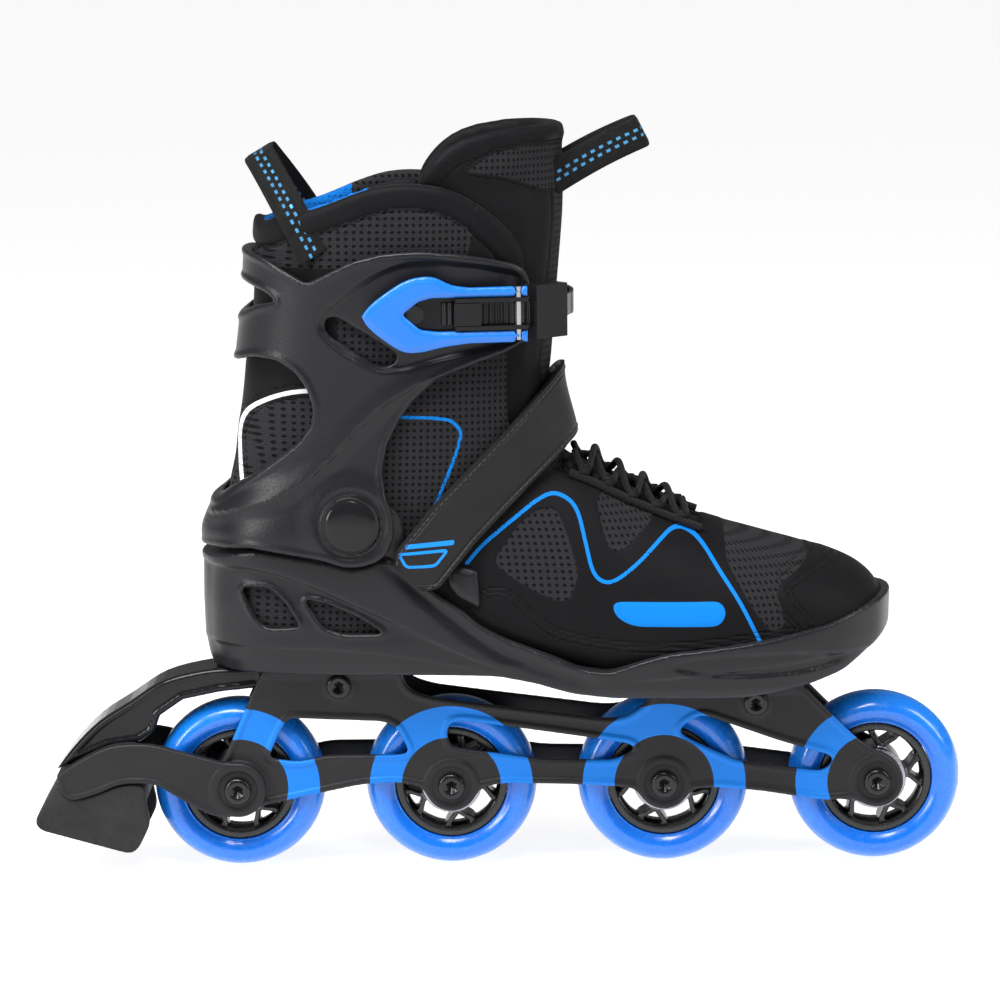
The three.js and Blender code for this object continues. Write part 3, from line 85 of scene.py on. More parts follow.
# ---------------------------------------------------------------- floor and light
# A plain white floor in a white studio, lit softly from one wide panel above and a tall,
# narrow panel at each side.
world = bpy.data.worlds.new("studio")
bpy.context.scene.world = world
world.use_nodes = True
world.node_tree.nodes["Background"].inputs["Color"].default_value = (1, 1, 1, 1)
world.node_tree.nodes["Background"].inputs["Strength"].default_value = 0.14


def area_light(name, place, aim, width, height, power):
    lamp = bpy.data.lights.new(name, "AREA")
    lamp.shape = "RECTANGLE"
    lamp.size = width
    lamp.size_y = height
    lamp.energy = power
    obj = bpy.data.objects.new(name, lamp)
    bpy.context.collection.objects.link(obj)
    obj.location = place
    obj.rotation_euler = (Vector(aim) - Vector(place)).to_track_quat("-Z", "Y").to_euler()
    return obj


area_light("light_above", (-0.35, -0.55, 1.35), (0, 0, 0.18), 1.3, 0.5, 36)
area_light("light_left", (-1.5, -1.0, 0.8), (0, 0, 0.2), 0.3, 1.2, 19)
area_light("light_right", (1.4, -0.4, 0.9), (0, 0, 0.15), 0.35, 1.0, 12)

floor_mesh = bpy.data.meshes.new("floor")
floor_mesh.from_pydata([(-150, -150, 0), (150, -150, 0), (150, 150, 0), (-150, 150, 0)], [], [(0, 1, 2, 3)])
floor = bpy.data.objects.new("floor", floor_mesh)
bpy.context.collection.objects.link(floor)
floor.location.z = -0.0005
paper = bpy.data.materials.new("paper")
paper.use_nodes = True
paper_inputs = paper.node_tree.nodes["Principled BSDF"].inputs
paper_inputs["Base Color"].default_value = (0.42, 0.42, 0.42, 1)
paper_inputs["Roughness"].default_value = 0.9
paper_inputs["Emission Color"].default_value = (1, 1, 1, 1)
paper_inputs["Emission Strength"].default_value = 0.88
floor_mesh.materials.append(paper)


# ---------------------------------------------------------------- wheels: tyres
# The tyres: cast blue urethane with domed side walls, slightly translucent. Each is poured
# round its hub and turns with it.
class Finish:
    """One material, written as expressions that end in a Principled surface."""

    def __init__(self, name):
        self.material = bpy.data.materials.new(name)
        self.material.use_nodes = True
        self.tree = self.material.node_tree
        self.surface = self.tree.nodes["Principled BSDF"]
        self.place = self.node("ShaderNodeTexCoord").outputs["Object"]

    def node(self, kind, inputs=(), **settings):
        made = self.tree.nodes.new(kind)
        for key, value in settings.items():
            setattr(made, key, value)
        for key, value in dict(inputs).items():
            if isinstance(value, bpy.types.NodeSocket):
                self.tree.links.new(value, made.inputs[key])
            else:
                made.inputs[key].default_value = value
        return made

    def math(self, operation, a, b=0.0, c=0.0):
        inputs = {0: a, 1: b, 2: c}
        return self.node("ShaderNodeMath", inputs, operation=operation).outputs[0]

    def between(self, value, low, high, to_low=0.0, to_high=1.0):
        inputs = {"Value": value, "From Min": low, "From Max": high, "To Min": to_low, "To Max": to_high}
        return self.node("ShaderNodeMapRange", inputs, interpolation_type="SMOOTHSTEP").outputs[0]

    def mixed(self, share, a, b):
        a = (*a, 1) if isinstance(a, tuple) else a
        b = (*b, 1) if isinstance(b, tuple) else b
        node = self.tree.nodes.new("ShaderNodeMix")
        node.data_type = "RGBA"
        for index, value in zip((0, 6, 7), (share, a, b)):
            if isinstance(value, bpy.types.NodeSocket):
                self.tree.links.new(value, node.inputs[index])
            else:
                node.inputs[index].default_value = value
        return node.outputs[2]

    def stored(self, name):
        return self.node("ShaderNodeAttribute", attribute_name=name).outputs["Fac"]

    def noise(self, scale, detail=3.0, vector=None):
        inputs = {"Vector": vector or self.place, "Scale": scale, "Detail": detail}
        return self.node("ShaderNodeTexNoise", inputs).outputs["Fac"]

    def axis(self, letter):
        return self.node("ShaderNodeSeparateXYZ", {"Vector": self.place}).outputs[letter]

    def bump(self, height, distance, strength=1.0, under=None):
        inputs = {"Height": height, "Distance": distance, "Strength": strength}
        if under:
            inputs["Normal"] = under
        return self.node("ShaderNodeBump", inputs).outputs[0]

    def finish(self, **inputs):
        for key, value in inputs.items():
            socket = self.surface.inputs[key.replace("_", " ").title().replace("Ior", "IOR")]
            if isinstance(value, bpy.types.NodeSocket):
                self.tree.links.new(value, socket)
            elif isinstance(value, tuple) and len(socket.default_value) == 4:
                socket.default_value = (*value, 1)
            else:
                socket.default_value = value
        return self.material


def build(name, points, faces, material, smooth=True):
    """An object from points in millimetres."""
    mesh = bpy.data.meshes.new(name)
    mesh.from_pydata((np.asarray(points) / 1000).tolist(), [], np.asarray(faces).tolist())
    mesh.materials.append(material)
    mesh.polygons.foreach_set("use_smooth", [smooth] * len(mesh.polygons))
    obj = bpy.data.objects.new(name, mesh)
    bpy.context.collection.objects.link(obj)
    return obj


def rounded(points, steps=6, closed=True):
    """A smooth curve through the points."""
    p = np.array(points, float)
    n = len(p)
    out = []
    for i in range(n if closed else n - 1):
        if closed:
            a, b, c, d = (p[(i + k) % n] for k in (-1, 0, 1, 2))
        else:
            a, b, c, d = p[max(i - 1, 0)], p[i], p[i + 1], p[min(i + 2, n - 1)]
        for t in np.arange(steps) / steps:
            cubic = (3 * b - 3 * c - a + d) * t**3
            out.append((2 * b + (c - a) * t + (2 * a - 5 * b + 4 * c - d) * t * t + cubic) / 2)
    return np.array(out if closed else out + [p[-1]])


def lathe(name, profile, x, z, segments, material):
    """A closed profile of (radius, y) turned about the y axis through (x, z)."""
    profile = np.array(profile)
    turn = np.arange(segments) / segments * 2 * math.pi
    r, y = profile[:, 0], profile[:, 1]
    grid = np.stack(
        [x + np.outer(np.cos(turn), r), np.outer(np.ones(segments), y), z + np.outer(np.sin(turn), r)], -1
    )
    n = len(profile)
    faces = [
        (i * n + j, ((i + 1) % segments) * n + j, ((i + 1) % segments) * n + (j + 1) % n, i * n + (j + 1) % n)
        for i in range(segments)
        for j in range(n)
    ]
    made = build(name, grid.reshape(-1, 3), faces, material)
    shape = bmesh.new()
    shape.from_mesh(made.data)
    bmesh.ops.remove_doubles(shape, verts=shape.verts, dist=1e-6)
    bmesh.ops.recalc_face_normals(shape, faces=shape.faces)
    shape.to_mesh(made.data)
    shape.free()
    return made


AXLES = [-121.5, -22.5, 76.5, 175.5]
AXLE_Z = 40
TYRE = [(26.4, 8.6), (27.2, 9.6), (30, 11.4), (33, 11.7), (35.5, 10.6), (37.6, 8.3), (39.2, 5), (39.9, 2)]
urethane = Finish("urethane_blue")
radial = urethane.stored("radius")
cloud = urethane.noise(18, 2)
tone = urethane.mixed(urethane.between(radial, 27, 39), (0.003, 0.145, 0.66), (0.008, 0.21, 0.76))
tone = urethane.mixed(urethane.math("MULTIPLY", cloud, 0.35), tone, (0.006, 0.115, 0.54))
tone = urethane.mixed(urethane.between(radial, 39.2, 39.95, 0, 0.35), tone, (0.02, 0.26, 0.70))
scuff = urethane.noise(240, 5)
urethane.finish(
    base_color=tone,
    roughness=urethane.between(scuff, 0.4, 0.7, 0.2, 0.36),
    subsurface_weight=0.35,
    subsurface_radius=(0.4, 0.7, 1.0),
    subsurface_scale=0.006,
    ior=1.49,
    coat_weight=0.35,
    coat_roughness=0.12,
    normal=urethane.bump(scuff, 0.00008),
)


def remember(obj, name, values):
    """A number for each vertex, for the materials."""
    attribute = obj.data.attributes.new(name, "FLOAT", "POINT")
    attribute.data.foreach_set("value", np.asarray(values, np.float32))


def places(obj):
    """The vertices, in millimetres."""
    points = np.zeros(len(obj.data.vertices) * 3, np.float32)
    obj.data.vertices.foreach_get("co", points)
    return points.reshape(-1, 3).T * 1000


side = np.array(TYRE)
dome = rounded([(26.4, 0), *side, (40, 0)], 4, closed=False)
tyre_profile = [*dome, *[(r, -y) for r, y in dome[-2:0:-1]]]
for number, x in enumerate(AXLES, 1):
    tyre = lathe(f"tyre_{number}_cast", tyre_profile, x, AXLE_Z, 112, urethane.material)
    px, py, pz = places(tyre)
    remember(tyre, "radius", np.hypot(px - x, pz - AXLE_Z))
    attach(tyre, f"wheel_{number}")
    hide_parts(f"tyre_{number}")


# ---------------------------------------------------------------- wheels: hubs
# The hubs: moulded nylon, a rim and a bearing tube joined by five forked spokes with open
# windows. The tyre grips the rim.
def moulded(name, low, high, step, field, material):
    """The surface where field(x, y, z) is zero. The field is a distance in millimetres,
    negative inside."""
    axes = [np.arange(a, b + step, step, dtype=np.float32) for a, b in zip(low, high)]
    x, y, z = np.ix_(*axes)
    values = np.broadcast_to(field(x, y, z), [len(a) for a in axes]).astype(np.float32)
    volume = openvdb.FloatGrid(background=3 * step)
    volume.copyFromArray(np.ascontiguousarray(np.clip(values, -3 * step, 3 * step)))
    points, quads = volume.convertToQuads(isovalue=0.0)
    points = points * step + np.array(low)
    a, b, c, d = (points[quads[:, k]] for k in range(4))
    if np.einsum("ij,ij->i", a, np.cross(b, c) + np.cross(c, d)).sum() < 0:
        quads = quads[:, ::-1]
    return build(name, points, quads, material)


def both(a, b, r):
    """Inside both fields, with the edge between them rounded."""
    h = np.clip(0.5 + 0.5 * (a - b) / r, 0, 1)
    return b + (a - b) * h + r * h * (1 - h)


def either(a, b, r):
    """Inside either field, with the corner between them filled."""
    return -both(-a, -b, r)


def ramp(value, low, high):
    t = np.clip((value - low) / (high - low), 0, 1)
    return t * t * (3 - 2 * t)


def hub_field(x, y, z):
    r = np.hypot(x, z)
    turn = np.abs((np.degrees(np.arctan2(x, z)) + 36) % 72 - 36)
    rim = both(np.abs(r - 24.3) - 1.75, np.abs(y) - 9, 0.8)
    inner_rim = both(np.abs(r - 22.2) - 0.8, np.abs(y) - 2.2, 0.8)
    tube = both(np.abs(r - 12.7) - 1.45, np.abs(y) - 11, 0.8)
    seat = both(np.abs(r - 9.9) - 1.6, np.abs(y) - 4.2, 0.6)
    fork = 15.5 * ramp(r, 12.5, 21.5)
    arm = np.abs(np.radians(turn - fork)) * r - 1.5
    spokes = both(both(arm, np.abs(r - 17.5) - 6, 0.5), np.abs(y) - (8.2 - 0.16 * (r - 13)), 1.0)
    ribs = either(either(rim, inner_rim, 0.8), tube, 0.5)
    return either(either(ribs, spokes, 1.4), seat, 0.5)


hub_black = Finish("hub_black")
reach = hub_black.stored("radius")
bright = hub_black.between(reach, 15.2, 14.6)
grain = hub_black.noise(900, 4)
hub_black.finish(
    base_color=hub_black.mixed(bright, (0.012, 0.012, 0.013), (0.34, 0.34, 0.36)),
    metallic=bright,
    roughness=hub_black.between(grain, 0.35, 0.65, 0.26, 0.36),
    normal=hub_black.bump(grain, 0.00006),
)
hub_1 = moulded("hub_1_moulded", (-27, -12, -27), (27, 12, 27), 0.55, hub_field, hub_black.material)
px, py, pz = places(hub_1)
remember(hub_1, "radius", np.hypot(px, pz))
for number, x in enumerate(AXLES, 1):
    hub = hub_1 if number == 1 else bpy.data.objects.new(f"hub_{number}_moulded", hub_1.data.copy())
    if number > 1:
        bpy.context.collection.objects.link(hub)
    turn = Matrix.Rotation(math.radians((0, 25, 50, 11)[number - 1]), 4, "Y")
    hub.matrix_world = Matrix.Translation((x / 1000, 0, AXLE_Z / 1000)) @ turn
for number in (1, 2, 3, 4):
    hub = bpy.data.objects[f"hub_{number}_moulded"]
    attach(hub, f"wheel_{number}")
    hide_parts(f"hub_{number}")

# ---------------------------------------------------------------- wheels: bearings and spacers
# Steel ball bearings pressed into both ends of each hub, with a steel sleeve between them
# on the axle.
bearing_steel = Finish("bearing_steel")
brushed = bearing_steel.noise(2600, 2)
bearing_steel.finish(
    base_color=bearing_steel.mixed(brushed, (0.42, 0.42, 0.44), (0.58, 0.58, 0.6)),
    metallic=1.0,
    roughness=bearing_steel.between(brushed, 0.3, 0.7, 0.18, 0.34),
    anisotropic=0.4,
    normal=bearing_steel.bump(brushed, 0.00002),
)
for number in (1, 2, 3, 4):
    for node in (f"bearing_{number}_lateral", f"bearing_{number}_medial", f"spacer_{number}"):
        frame["nodes"][node].data.materials[0] = bearing_steel.material


# ---------------------------------------------------------------- frame
# One pressed and machined aluminium frame, matte black. Rings of blue print follow the
# tyres where the frame crosses them.
def edge(points, u, v, closed=True):
    """Distance from (u, v) to a line through the points, negative inside when closed."""
    u, v = np.asarray(u, np.float32), np.asarray(v, np.float32)
    best = np.full(np.broadcast(u, v).shape, 1e9, np.float32)
    inside = np.zeros(best.shape, bool)
    ends = np.roll(points, -1, axis=0) if closed else points[1:]
    for (a, b), (c, d) in zip(np.asarray(points, float), np.asarray(ends, float)):
        du, dv = c - a, d - b
        t = np.clip(((u - a) * du + (v - b) * dv) / (du * du + dv * dv + 1e-12), 0, 1)
        best = np.minimum(best, (u - a - t * du) ** 2 + (v - b - t * dv) ** 2)
        if closed and dv:
            inside ^= ((b > v) != (d > v)) & (u < du * (v - b) / dv + a)
    return np.where(inside, -1, 1) * np.sqrt(best)


def eased(points, cut, steps=5):
    """The outline with each corner turned into a short curve."""
    p = np.array(points, float)
    out = []
    for a, b, c in zip(np.roll(p, 1, 0), p, np.roll(p, -1, 0)):
        s = b + (a - b) * min(cut / np.linalg.norm(a - b), 0.48)
        e = b + (c - b) * min(cut / np.linalg.norm(c - b), 0.48)
        out += [(1 - t) ** 2 * s + 2 * t * (1 - t) * b + t * t * e for t in np.linspace(0, 1, steps)]
    return np.array(out)


PLATE = [
    (-109, 96.7), (-46, 96.7), (-42.5, 86), (-31, 82), (-2.5, 78), (35.5, 73), (47.5, 71.3), (58.5, 71.5),
    (69, 78.7), (72, 86.7), (140, 86.7), (151.5, 75), (166, 60.5), (180, 51), (181, 38), (172, 33),
    (151.5, 31), (121.5, 36), (100.5, 38), (76.5, 36), (52.5, 39), (35.5, 40), (1.5, 41), (-22.5, 36),
    (-46.5, 42), (-64.5, 41), (-93.5, 35), (-112, 31), (-127, 34), (-131.5, 46),
]
FRAME_WINDOWS = [
    [(-107.5, 54), (-100.5, 69), (-97.5, 73), (-53.5, 71), (-47.5, 68), (-42, 57), (-44.5, 55), (-79.5, 55),
     (-93.5, 52)],
    [(-24.5, 65), (-22.5, 70), (-17.5, 71), (7.5, 67.5), (37.5, 63), (61.5, 59), (62.5, 56), (53.5, 51.5),
     (21.5, 52), (-16.5, 57.5), (-22.5, 59)],
    [(83.5, 64), (85.5, 68), (92.5, 72), (96.5, 72), (129.5, 60), (154.5, 52.5), (154.5, 48.5),
     (149.5, 45), (128.5, 48), (110.5, 50.5), (92.5, 59)],
]
FRAME_SCREWS = [(-74, 88.2), (119, 78.2)]


def frame_side(x, z):
    side = edge(eased(PLATE, 5), x, z)
    for axle in AXLES:
        side = either(side, np.hypot(x - axle, z - AXLE_Z) - 12.2, 5)
    for window in FRAME_WINDOWS:
        side = both(side, -edge(eased(window, 4), x, z), 0.8)
    return side


def frame_field(x, y, z):
    flat = frame_side(x, z)
    wheel = np.min([np.hypot(x - axle, z - AXLE_Z) for axle in AXLES], axis=0)
    panel = 0.9 * ramp(-flat, 2.2, 3.4) * ramp(wheel, 12.2, 13.4)
    seat = 0.7 * ramp(9.6 - wheel, 0, 0.8)
    screws = np.min([np.hypot(x - a, z - b) for a, b in FRAME_SCREWS], axis=0)
    panel = panel * ramp(screws, 7, 8)
    plates = both(flat, np.maximum(np.abs(y) - 16.5 + panel + seat, 13 - np.abs(y)), 1.0)
    boss = np.maximum(wheel - 7, np.maximum(np.abs(y) - 13.5, 12.3 - np.abs(y)))
    heel = np.maximum(np.abs(x + 77.2) - 31.2, np.maximum(np.abs(z - 94.7) - 2, np.abs(y) - 16.3))
    toe = np.maximum(np.abs(x - 106) - 34, np.maximum(np.abs(z - 84.7) - 2, np.abs(y) - 16.3))
    made = np.minimum(either(either(plates, heel, 2), toe, 2), boss)
    made = np.maximum(made, 4.3 - wheel)
    made = np.maximum(made, 2.8 - screws)
    lugs = np.minimum(np.abs(x + 74), np.abs(x - 119)) - 9.3
    return np.maximum(made, -np.maximum(lugs, np.abs(y) - 13))


frame_paint = Finish("frame_paint")
speckle = frame_paint.noise(1500, 3)
print_line = frame_paint.between(frame_paint.stored("print"), 0.12, -0.12)
# Lighter band along the outer edges of the side plates, read from the brim attribute.
lighter_plate_edges = frame_paint.between(frame_paint.stored("brim"), -1.4, -0.2, 0, 0.5)
coat = frame_paint.mixed(frame_paint.noise(30), (0.011, 0.011, 0.012), (0.019, 0.018, 0.020))
coat = frame_paint.mixed(lighter_plate_edges, coat, (0.032, 0.031, 0.034))
frame_paint.finish(
    base_color=frame_paint.mixed(print_line, coat, (0.006, 0.17, 0.62)),
    metallic=0.2,
    roughness=frame_paint.between(speckle, 0.3, 0.7, 0.42, 0.55),
    specular_ior_level=0.28,
    normal=frame_paint.bump(speckle, 0.00006),
)
chassis = moulded("frame_alloy", (-136, -18, 25), (190, 18, 99), 0.75, frame_field, frame_paint.material)
px, py, pz = places(chassis)
rings = np.min([np.abs(np.hypot(px - a, pz - AXLE_Z) - 30.5) - 7.4 for a in AXLES], axis=0)
remember(chassis, "print", np.where(np.abs(py) > 15, rings, 3))
remember(chassis, "brim", frame_side(px, pz))
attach(chassis, "boot")
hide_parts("chassis")

# ---------------------------------------------------------------- brake arch
# The moulded nylon arm from under the heel to the brake, gloss black with rolled edges.
# It is bolted under the heel of the frame.
ARCH = [(-108.8, 96.7), (-120, 96.5), (-135.5, 95.7), (-155.5, 90.7), (-171.5, 80.7), (-186.5, 71),
    (-198.5, 59), (-206.5, 48.5), (-197.5, 53), (-181.5, 59.5), (-167.5, 61.5), (-160.5, 66),
    (-157.5, 74), (-146.5, 81.5), (-129.5, 85), (-114.3, 86.5), (-109, 87)]
gloss_black = Finish("gloss_black")
dust = gloss_black.noise(700, 4)
gloss_black.finish(
    base_color=gloss_black.mixed(gloss_black.noise(25), (0.006, 0.006, 0.007), (0.011, 0.011, 0.012)),
    roughness=gloss_black.between(dust, 0.35, 0.75, 0.10, 0.22),
    specular_ior_level=0.22,
    coat_weight=0.0,
    normal=gloss_black.bump(gloss_black.noise(60, 2), 0.00004),
)
shell_plastic = Finish("shell_plastic")
texture = shell_plastic.noise(1100, 4)
flow = shell_plastic.noise(14, 2)
# Lighter along the rims and vent edges, and a painted highlight along the ridge crest of the shell and the
# spine crest of the cuff, read from the brim attribute.
crest_highlight_and_light_edges = shell_plastic.between(shell_plastic.stored("brim"), 1.1, 0.1, 0, 0.55)
charcoal = shell_plastic.mixed(flow, (0.0055, 0.0052, 0.0068), (0.0080, 0.0076, 0.0094))
shell_plastic.finish(
    base_color=shell_plastic.mixed(crest_highlight_and_light_edges, charcoal, (0.018, 0.017, 0.020)),
    roughness=shell_plastic.between(texture, 0.3, 0.7, 0.30, 0.40),
    specular_ior_level=0.25,
    coat_weight=0.06,
    coat_roughness=0.3,
    sheen_weight=0.02,
    sheen_roughness=0.5,
    normal=shell_plastic.bump(texture, 0.00007),
)


def arch_field(x, y, z):
    side = edge(rounded(ARCH[:8], 4, closed=False).tolist() + ARCH[8:], x, z)
    groove = 1.0 * ramp(-side, 2.4, 3.4)
    body = both(side, np.abs(y) - 14 + groove, 3.0)
    bay = both(np.abs(y) - 11, -side - 3.2, 1.0)
    return np.maximum(body, -np.maximum(bay, np.maximum(-150 - x, 4 - (97 - z) * 0.4)))


arch = moulded("brake_arch_moulded", (-209, -16, 46), (-107, 16, 99), 0.8, arch_field, gloss_black.material)
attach(arch, "boot")
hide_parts("brake_arch")

# ---------------------------------------------------------------- brake yoke and pad
# Two swept nylon arms held on the rear axle carry a block of black rubber with a hollow
# face. A screw holds the block.
ARM_TOP = [(-205.5, 48), (-193.5, 55.5), (-181.5, 61), (-169.5, 62.5), (-158.5, 61.5), (-147.5, 58.5),
    (-125.5, 52.4)]
ARM_LOW = [(-126.5, 27.5), (-133.5, 28), (-141.5, 32), (-151.5, 38), (-159.5, 42.6), (-169.5, 43.6),
    (-177.5, 42.6), (-187.5, 38.6), (-198.5, 36), (-204.5, 40)]
PAD = [(-164.5, 41.5), (-169.5, 43.2), (-177.5, 42.2), (-187.5, 38.2), (-198.5, 35.6), (-205.8, 45),
    (-216.5, 26), (-214.5, 21.5), (-172.5, 9.5), (-168.5, 12), (-162.5, 24), (-164.5, 34)]


def yoke_field(x, y, z):
    outline = rounded(ARM_TOP, 4, closed=False).tolist() + rounded(ARM_LOW, 4, closed=False).tolist()
    side = either(edge(outline, x, z), np.hypot(x + 121.5, z - 40) - 13, 3)
    axle = np.hypot(x + 121.5, z - 40)
    panel = 0.8 * ramp(-side, 2, 3) * ramp(axle, 12.5, 14) + 0.8 * ramp(9.4 - axle, 0, 0.8)
    made = both(side, np.abs(y) - 21.2 + panel, 1.6)
    made = np.maximum(made, -np.maximum(-168 - x, np.abs(y) - 17.2))
    made = np.maximum(made, -np.maximum(x + 165.8, np.maximum(np.abs(y) - 14.4, 51.3 - z)))
    return np.maximum(made, 4.4 - axle)


def pad_field(x, y, z):
    made = both(edge(eased(PAD, 4), x, z), np.abs(y) - 20, 1.6)
    hollow = both(np.abs(y) - 15.5, edge([(-150, 36), (-171, 33), (-178, 20), (-168, 13.5), (-150, 13)], x,
        z), 1.5)
    return both(made, -hollow, 0.8)


yoke = moulded("brake_yoke_moulded", (-208, -23, 25), (-106, 23, 65), 0.8, yoke_field, frame_paint.material)
px, py, pz = places(yoke)
remember(yoke, "print", np.full(len(px), 3.0))
remember(yoke, "brim", np.full(len(px), -3.0))
rubber = Finish("brake_rubber")
crumb = rubber.noise(420, 6)
smear = rubber.between(rubber.noise(35, 4), 0.4, 0.7)
rubber.finish(
    base_color=rubber.mixed(smear, (0.013, 0.013, 0.013), (0.022, 0.022, 0.023)),
    roughness=rubber.between(crumb, 0.3, 0.7, 0.5, 0.78),
    specular_ior_level=0.2,
    sheen_weight=0.05,
    normal=rubber.bump(crumb, 0.00015),
)
pad = moulded("brake_pad_cast", (-218, -22, 8), (-160, 22, 46), 0.8, pad_field, rubber.material)
for obj, node, slot in ((yoke, "brake_yoke", "frame_metal"), (pad, "brake_pad", "brake_rubber")):
    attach(obj, "boot")
    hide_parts(node)
frame["nodes"]["brake_pad_screw"].data.materials[0] = bearing_steel.material

# ---------------------------------------------------------------- axle bolts and frame screws
# Steel bolts in black oxide, with hexagon sockets and rounded heads: one through each
# wheel, and four that fix the frame to the shell.
black_steel = Finish("black_steel")
oxide = black_steel.noise(1800, 3)
black_steel.finish(
    base_color=black_steel.mixed(oxide, (0.010, 0.010, 0.011), (0.028, 0.028, 0.030)),
    metallic=0.75,
    roughness=black_steel.between(oxide, 0.3, 0.7, 0.2, 0.34),
    coat_weight=0.2,
    normal=black_steel.bump(oxide, 0.00003),
)


def bolt(name, x, z, face, sign, radius, height, socket, shank, depth):
    """A head of the given radius and height outside face, with a six-sided socket."""
    h = height
    profile = [
        (socket * 0.05, 0.35 * h), (socket, 0.35 * h), (socket + 0.35, 0.98 * h), (radius * 0.72, h),
        (radius * 0.9, 0.86 * h), (radius * 0.985, 0.6 * h), (radius, 0.3 * h), (radius, 0), (shank, 0),
        (shank, -depth), (shank * 0.05, -depth),
    ]
    made = lathe(name, profile, 0, 0, 60, black_steel.material)
    px, py, pz = places(made)
    turn = np.arctan2(pz, px)
    flat = 0.9 / np.cos((turn + math.pi / 6) % (math.pi / 3) - math.pi / 6)
    in_socket = (np.hypot(px, pz) < socket + 0.1) & (py > 0)
    px, pz = np.where(in_socket, px * flat, px), np.where(in_socket, pz * flat, pz)
    points = np.stack([px + x, sign * (py + face), pz + z], -1) / 1000
    made.data.vertices.foreach_set("co", points.astype(np.float32).ravel())
    if sign < 0:
        made.data.flip_normals()
    return made


for number, x in enumerate(AXLES, 1):
    face = (21.2 if number == 1 else 16.5) + 0.3
    for side_name, sign in (("lateral", -1), ("medial", 1)):
        head = bolt(f"axle_{number}_{side_name}", x, AXLE_Z, face, sign, 6.2, 2.4, 2.6, 3.9, face - 0.5)
        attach(head, "boot")
        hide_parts(f"axle_{number}")
for place, (x, z) in zip(("rear", "front"), FRAME_SCREWS):
    for side_name, sign in (("lateral", -1), ("medial", 1)):
        head = bolt(f"screw_{place}_{side_name}", x, z, 16.8, sign, 5.6, 2.2, 2.3, 2.4, 11)
        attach(head, "boot")
        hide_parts(f"frame_screw_{place}_{side_name}")

# ---------------------------------------------------------------- base shell
# The moulded tray that holds the foot: a ridge round the heel, two windows at each side, a
# rim that sweeps down to the toe, and a bumper.
FOOT = rounded([(-123, 145, 152, 2, 0), (-121, 130, 168, 14, 0), (-117, 114, 184, 24, 0),
    (-105, 106, 190, 31, 0), (-75, 103.5, 192, 35.2, 0), (-40, 103, 198, 36, 0),
    (-5, 102.8, 203, 37.6, 0), (30, 98, 198, 42, 0), (60, 94, 181, 47, 0.5), (90, 93.2, 166, 50, 1),
    (120, 93.2, 156.5, 49.5, 2.5), (145, 95.5, 149, 45, 4), (163, 100, 142, 36, 5.5),
    (173, 106, 135, 25, 6.5), (178.5, 113, 127, 12, 7), (181, 119, 121, 2, 7)], 6, closed=False, )
LEG = rounded(
    [
        (118, -119, -25, 32), (140, -123, -8, 35), (160, -124.5, 8, 36.5), (180, -123.5, 22, 37.5),
        (200, -119.5, 33, 38.5), (232, -115.5, 27, 39.5), (268, -110.5, 29, 41.5), (310, -107.5, 32, 43.5),
        (352, -104, 31, 42.5),
    ],
    6,
    closed=False,
)
CUFF = rounded(
    [
        (140, -132, 8, 45), (152, -135, 12, 46), (163, -136.5, 16, 46.3), (180, -129.5, 26, 45.6),
        (200, -124, 34, 44.8), (236, -120, 32.5, 45.3), (268, -116, 34, 47), (300, -114, 36, 49),
    ],
    6,
    closed=False,
)


def foot_gap(x, y, z):
    """Distance outside the form of the foot, across its length."""
    low, high, half, drift = (np.interp(x, FOOT[:, 0], FOOT[:, k]) for k in (1, 2, 3, 4))
    waist = low + np.minimum(26, 0.45 * (high - low))
    up = z > waist
    s = np.abs(z - waist) / np.where(up, high - waist, waist - low)
    c = np.abs(y - drift) / half
    power = np.where(up, 2.1, 3.4)
    r = np.maximum((c**power + s**power) ** (1 / power), 0.02)
    gap = np.hypot(y - drift, z - waist) * (1 - 1 / r)
    return np.maximum(gap, np.maximum(x - 180.5, -122.8 - x))


def leg_gap(x, y, z, form=LEG):
    """Distance outside a form of the leg, across its height."""
    rear, front, half = (np.interp(z, form[:, 0], form[:, k]) for k in (1, 2, 3))
    middle = (rear + front) / 2
    c = np.abs(x - middle) / ((front - rear) / 2)
    s = np.abs(y) / half
    r = np.maximum((c**2.5 + s**2.5) ** 0.4, 0.02)
    gap = np.hypot(x - middle, y) * (1 - 1 / r)
    return np.maximum(gap, form[0, 0] - z)


def boot_gap(x, y, z):
    return either(foot_gap(x, y, z), leg_gap(x, y, z), 8)


HALVES = [
    (-134, 14, 0), (-126, 25.5, 0), (-110, 34.5, 0), (-80, 40, 0), (-40, 42, 0), (0, 44, 0), (40, 49.5, 0),
    (80, 55, 0.7), (110, 56.3, 1.8), (135, 52.5, 3.5), (155, 44.5, 5), (170, 33, 6), (178.5, 21, 6.8),
]
PLAN = rounded(
    [(-137, 0), *[(x, drift - half) for x, half, drift in HALVES], (183, 7.4)]
    + [(x, drift + half) for x, half, drift in HALVES[::-1]],
    5,
)
SHELL_SIDE = [(-150, 97), (0, 97), (17, 94), (34, 89), (52, 87), (112, 87.5), (128, 89.5), (143, 92.5),
    (158, 97), (170, 105), (190, 118), (190, 131), (174, 128), (149, 120), (125, 115.5), (95, 111.5),
    (78, 109.5), (66, 106), (50, 99.8), (36, 101.5), (27, 106), (2, 115.5), (-9, 121.5), (-16, 128),
    (-27, 135), (-38, 143), (-45, 150), (-52.2, 152.9), (-58.3, 149.2), (-66, 147.8), (-75.8, 150.2),
    (-80, 151.2), (-95, 153.5), (-112, 155.3), (-130, 152), (-150, 150)]
RIDGE = np.array([(-150, 149), (-129, 147.5), (-113, 147.5), (-99, 145), (-82, 139), (-57, 127.5),
    (-35, 116.5), (-12, 106), (15, 97), (60, 88), (200, 84)])
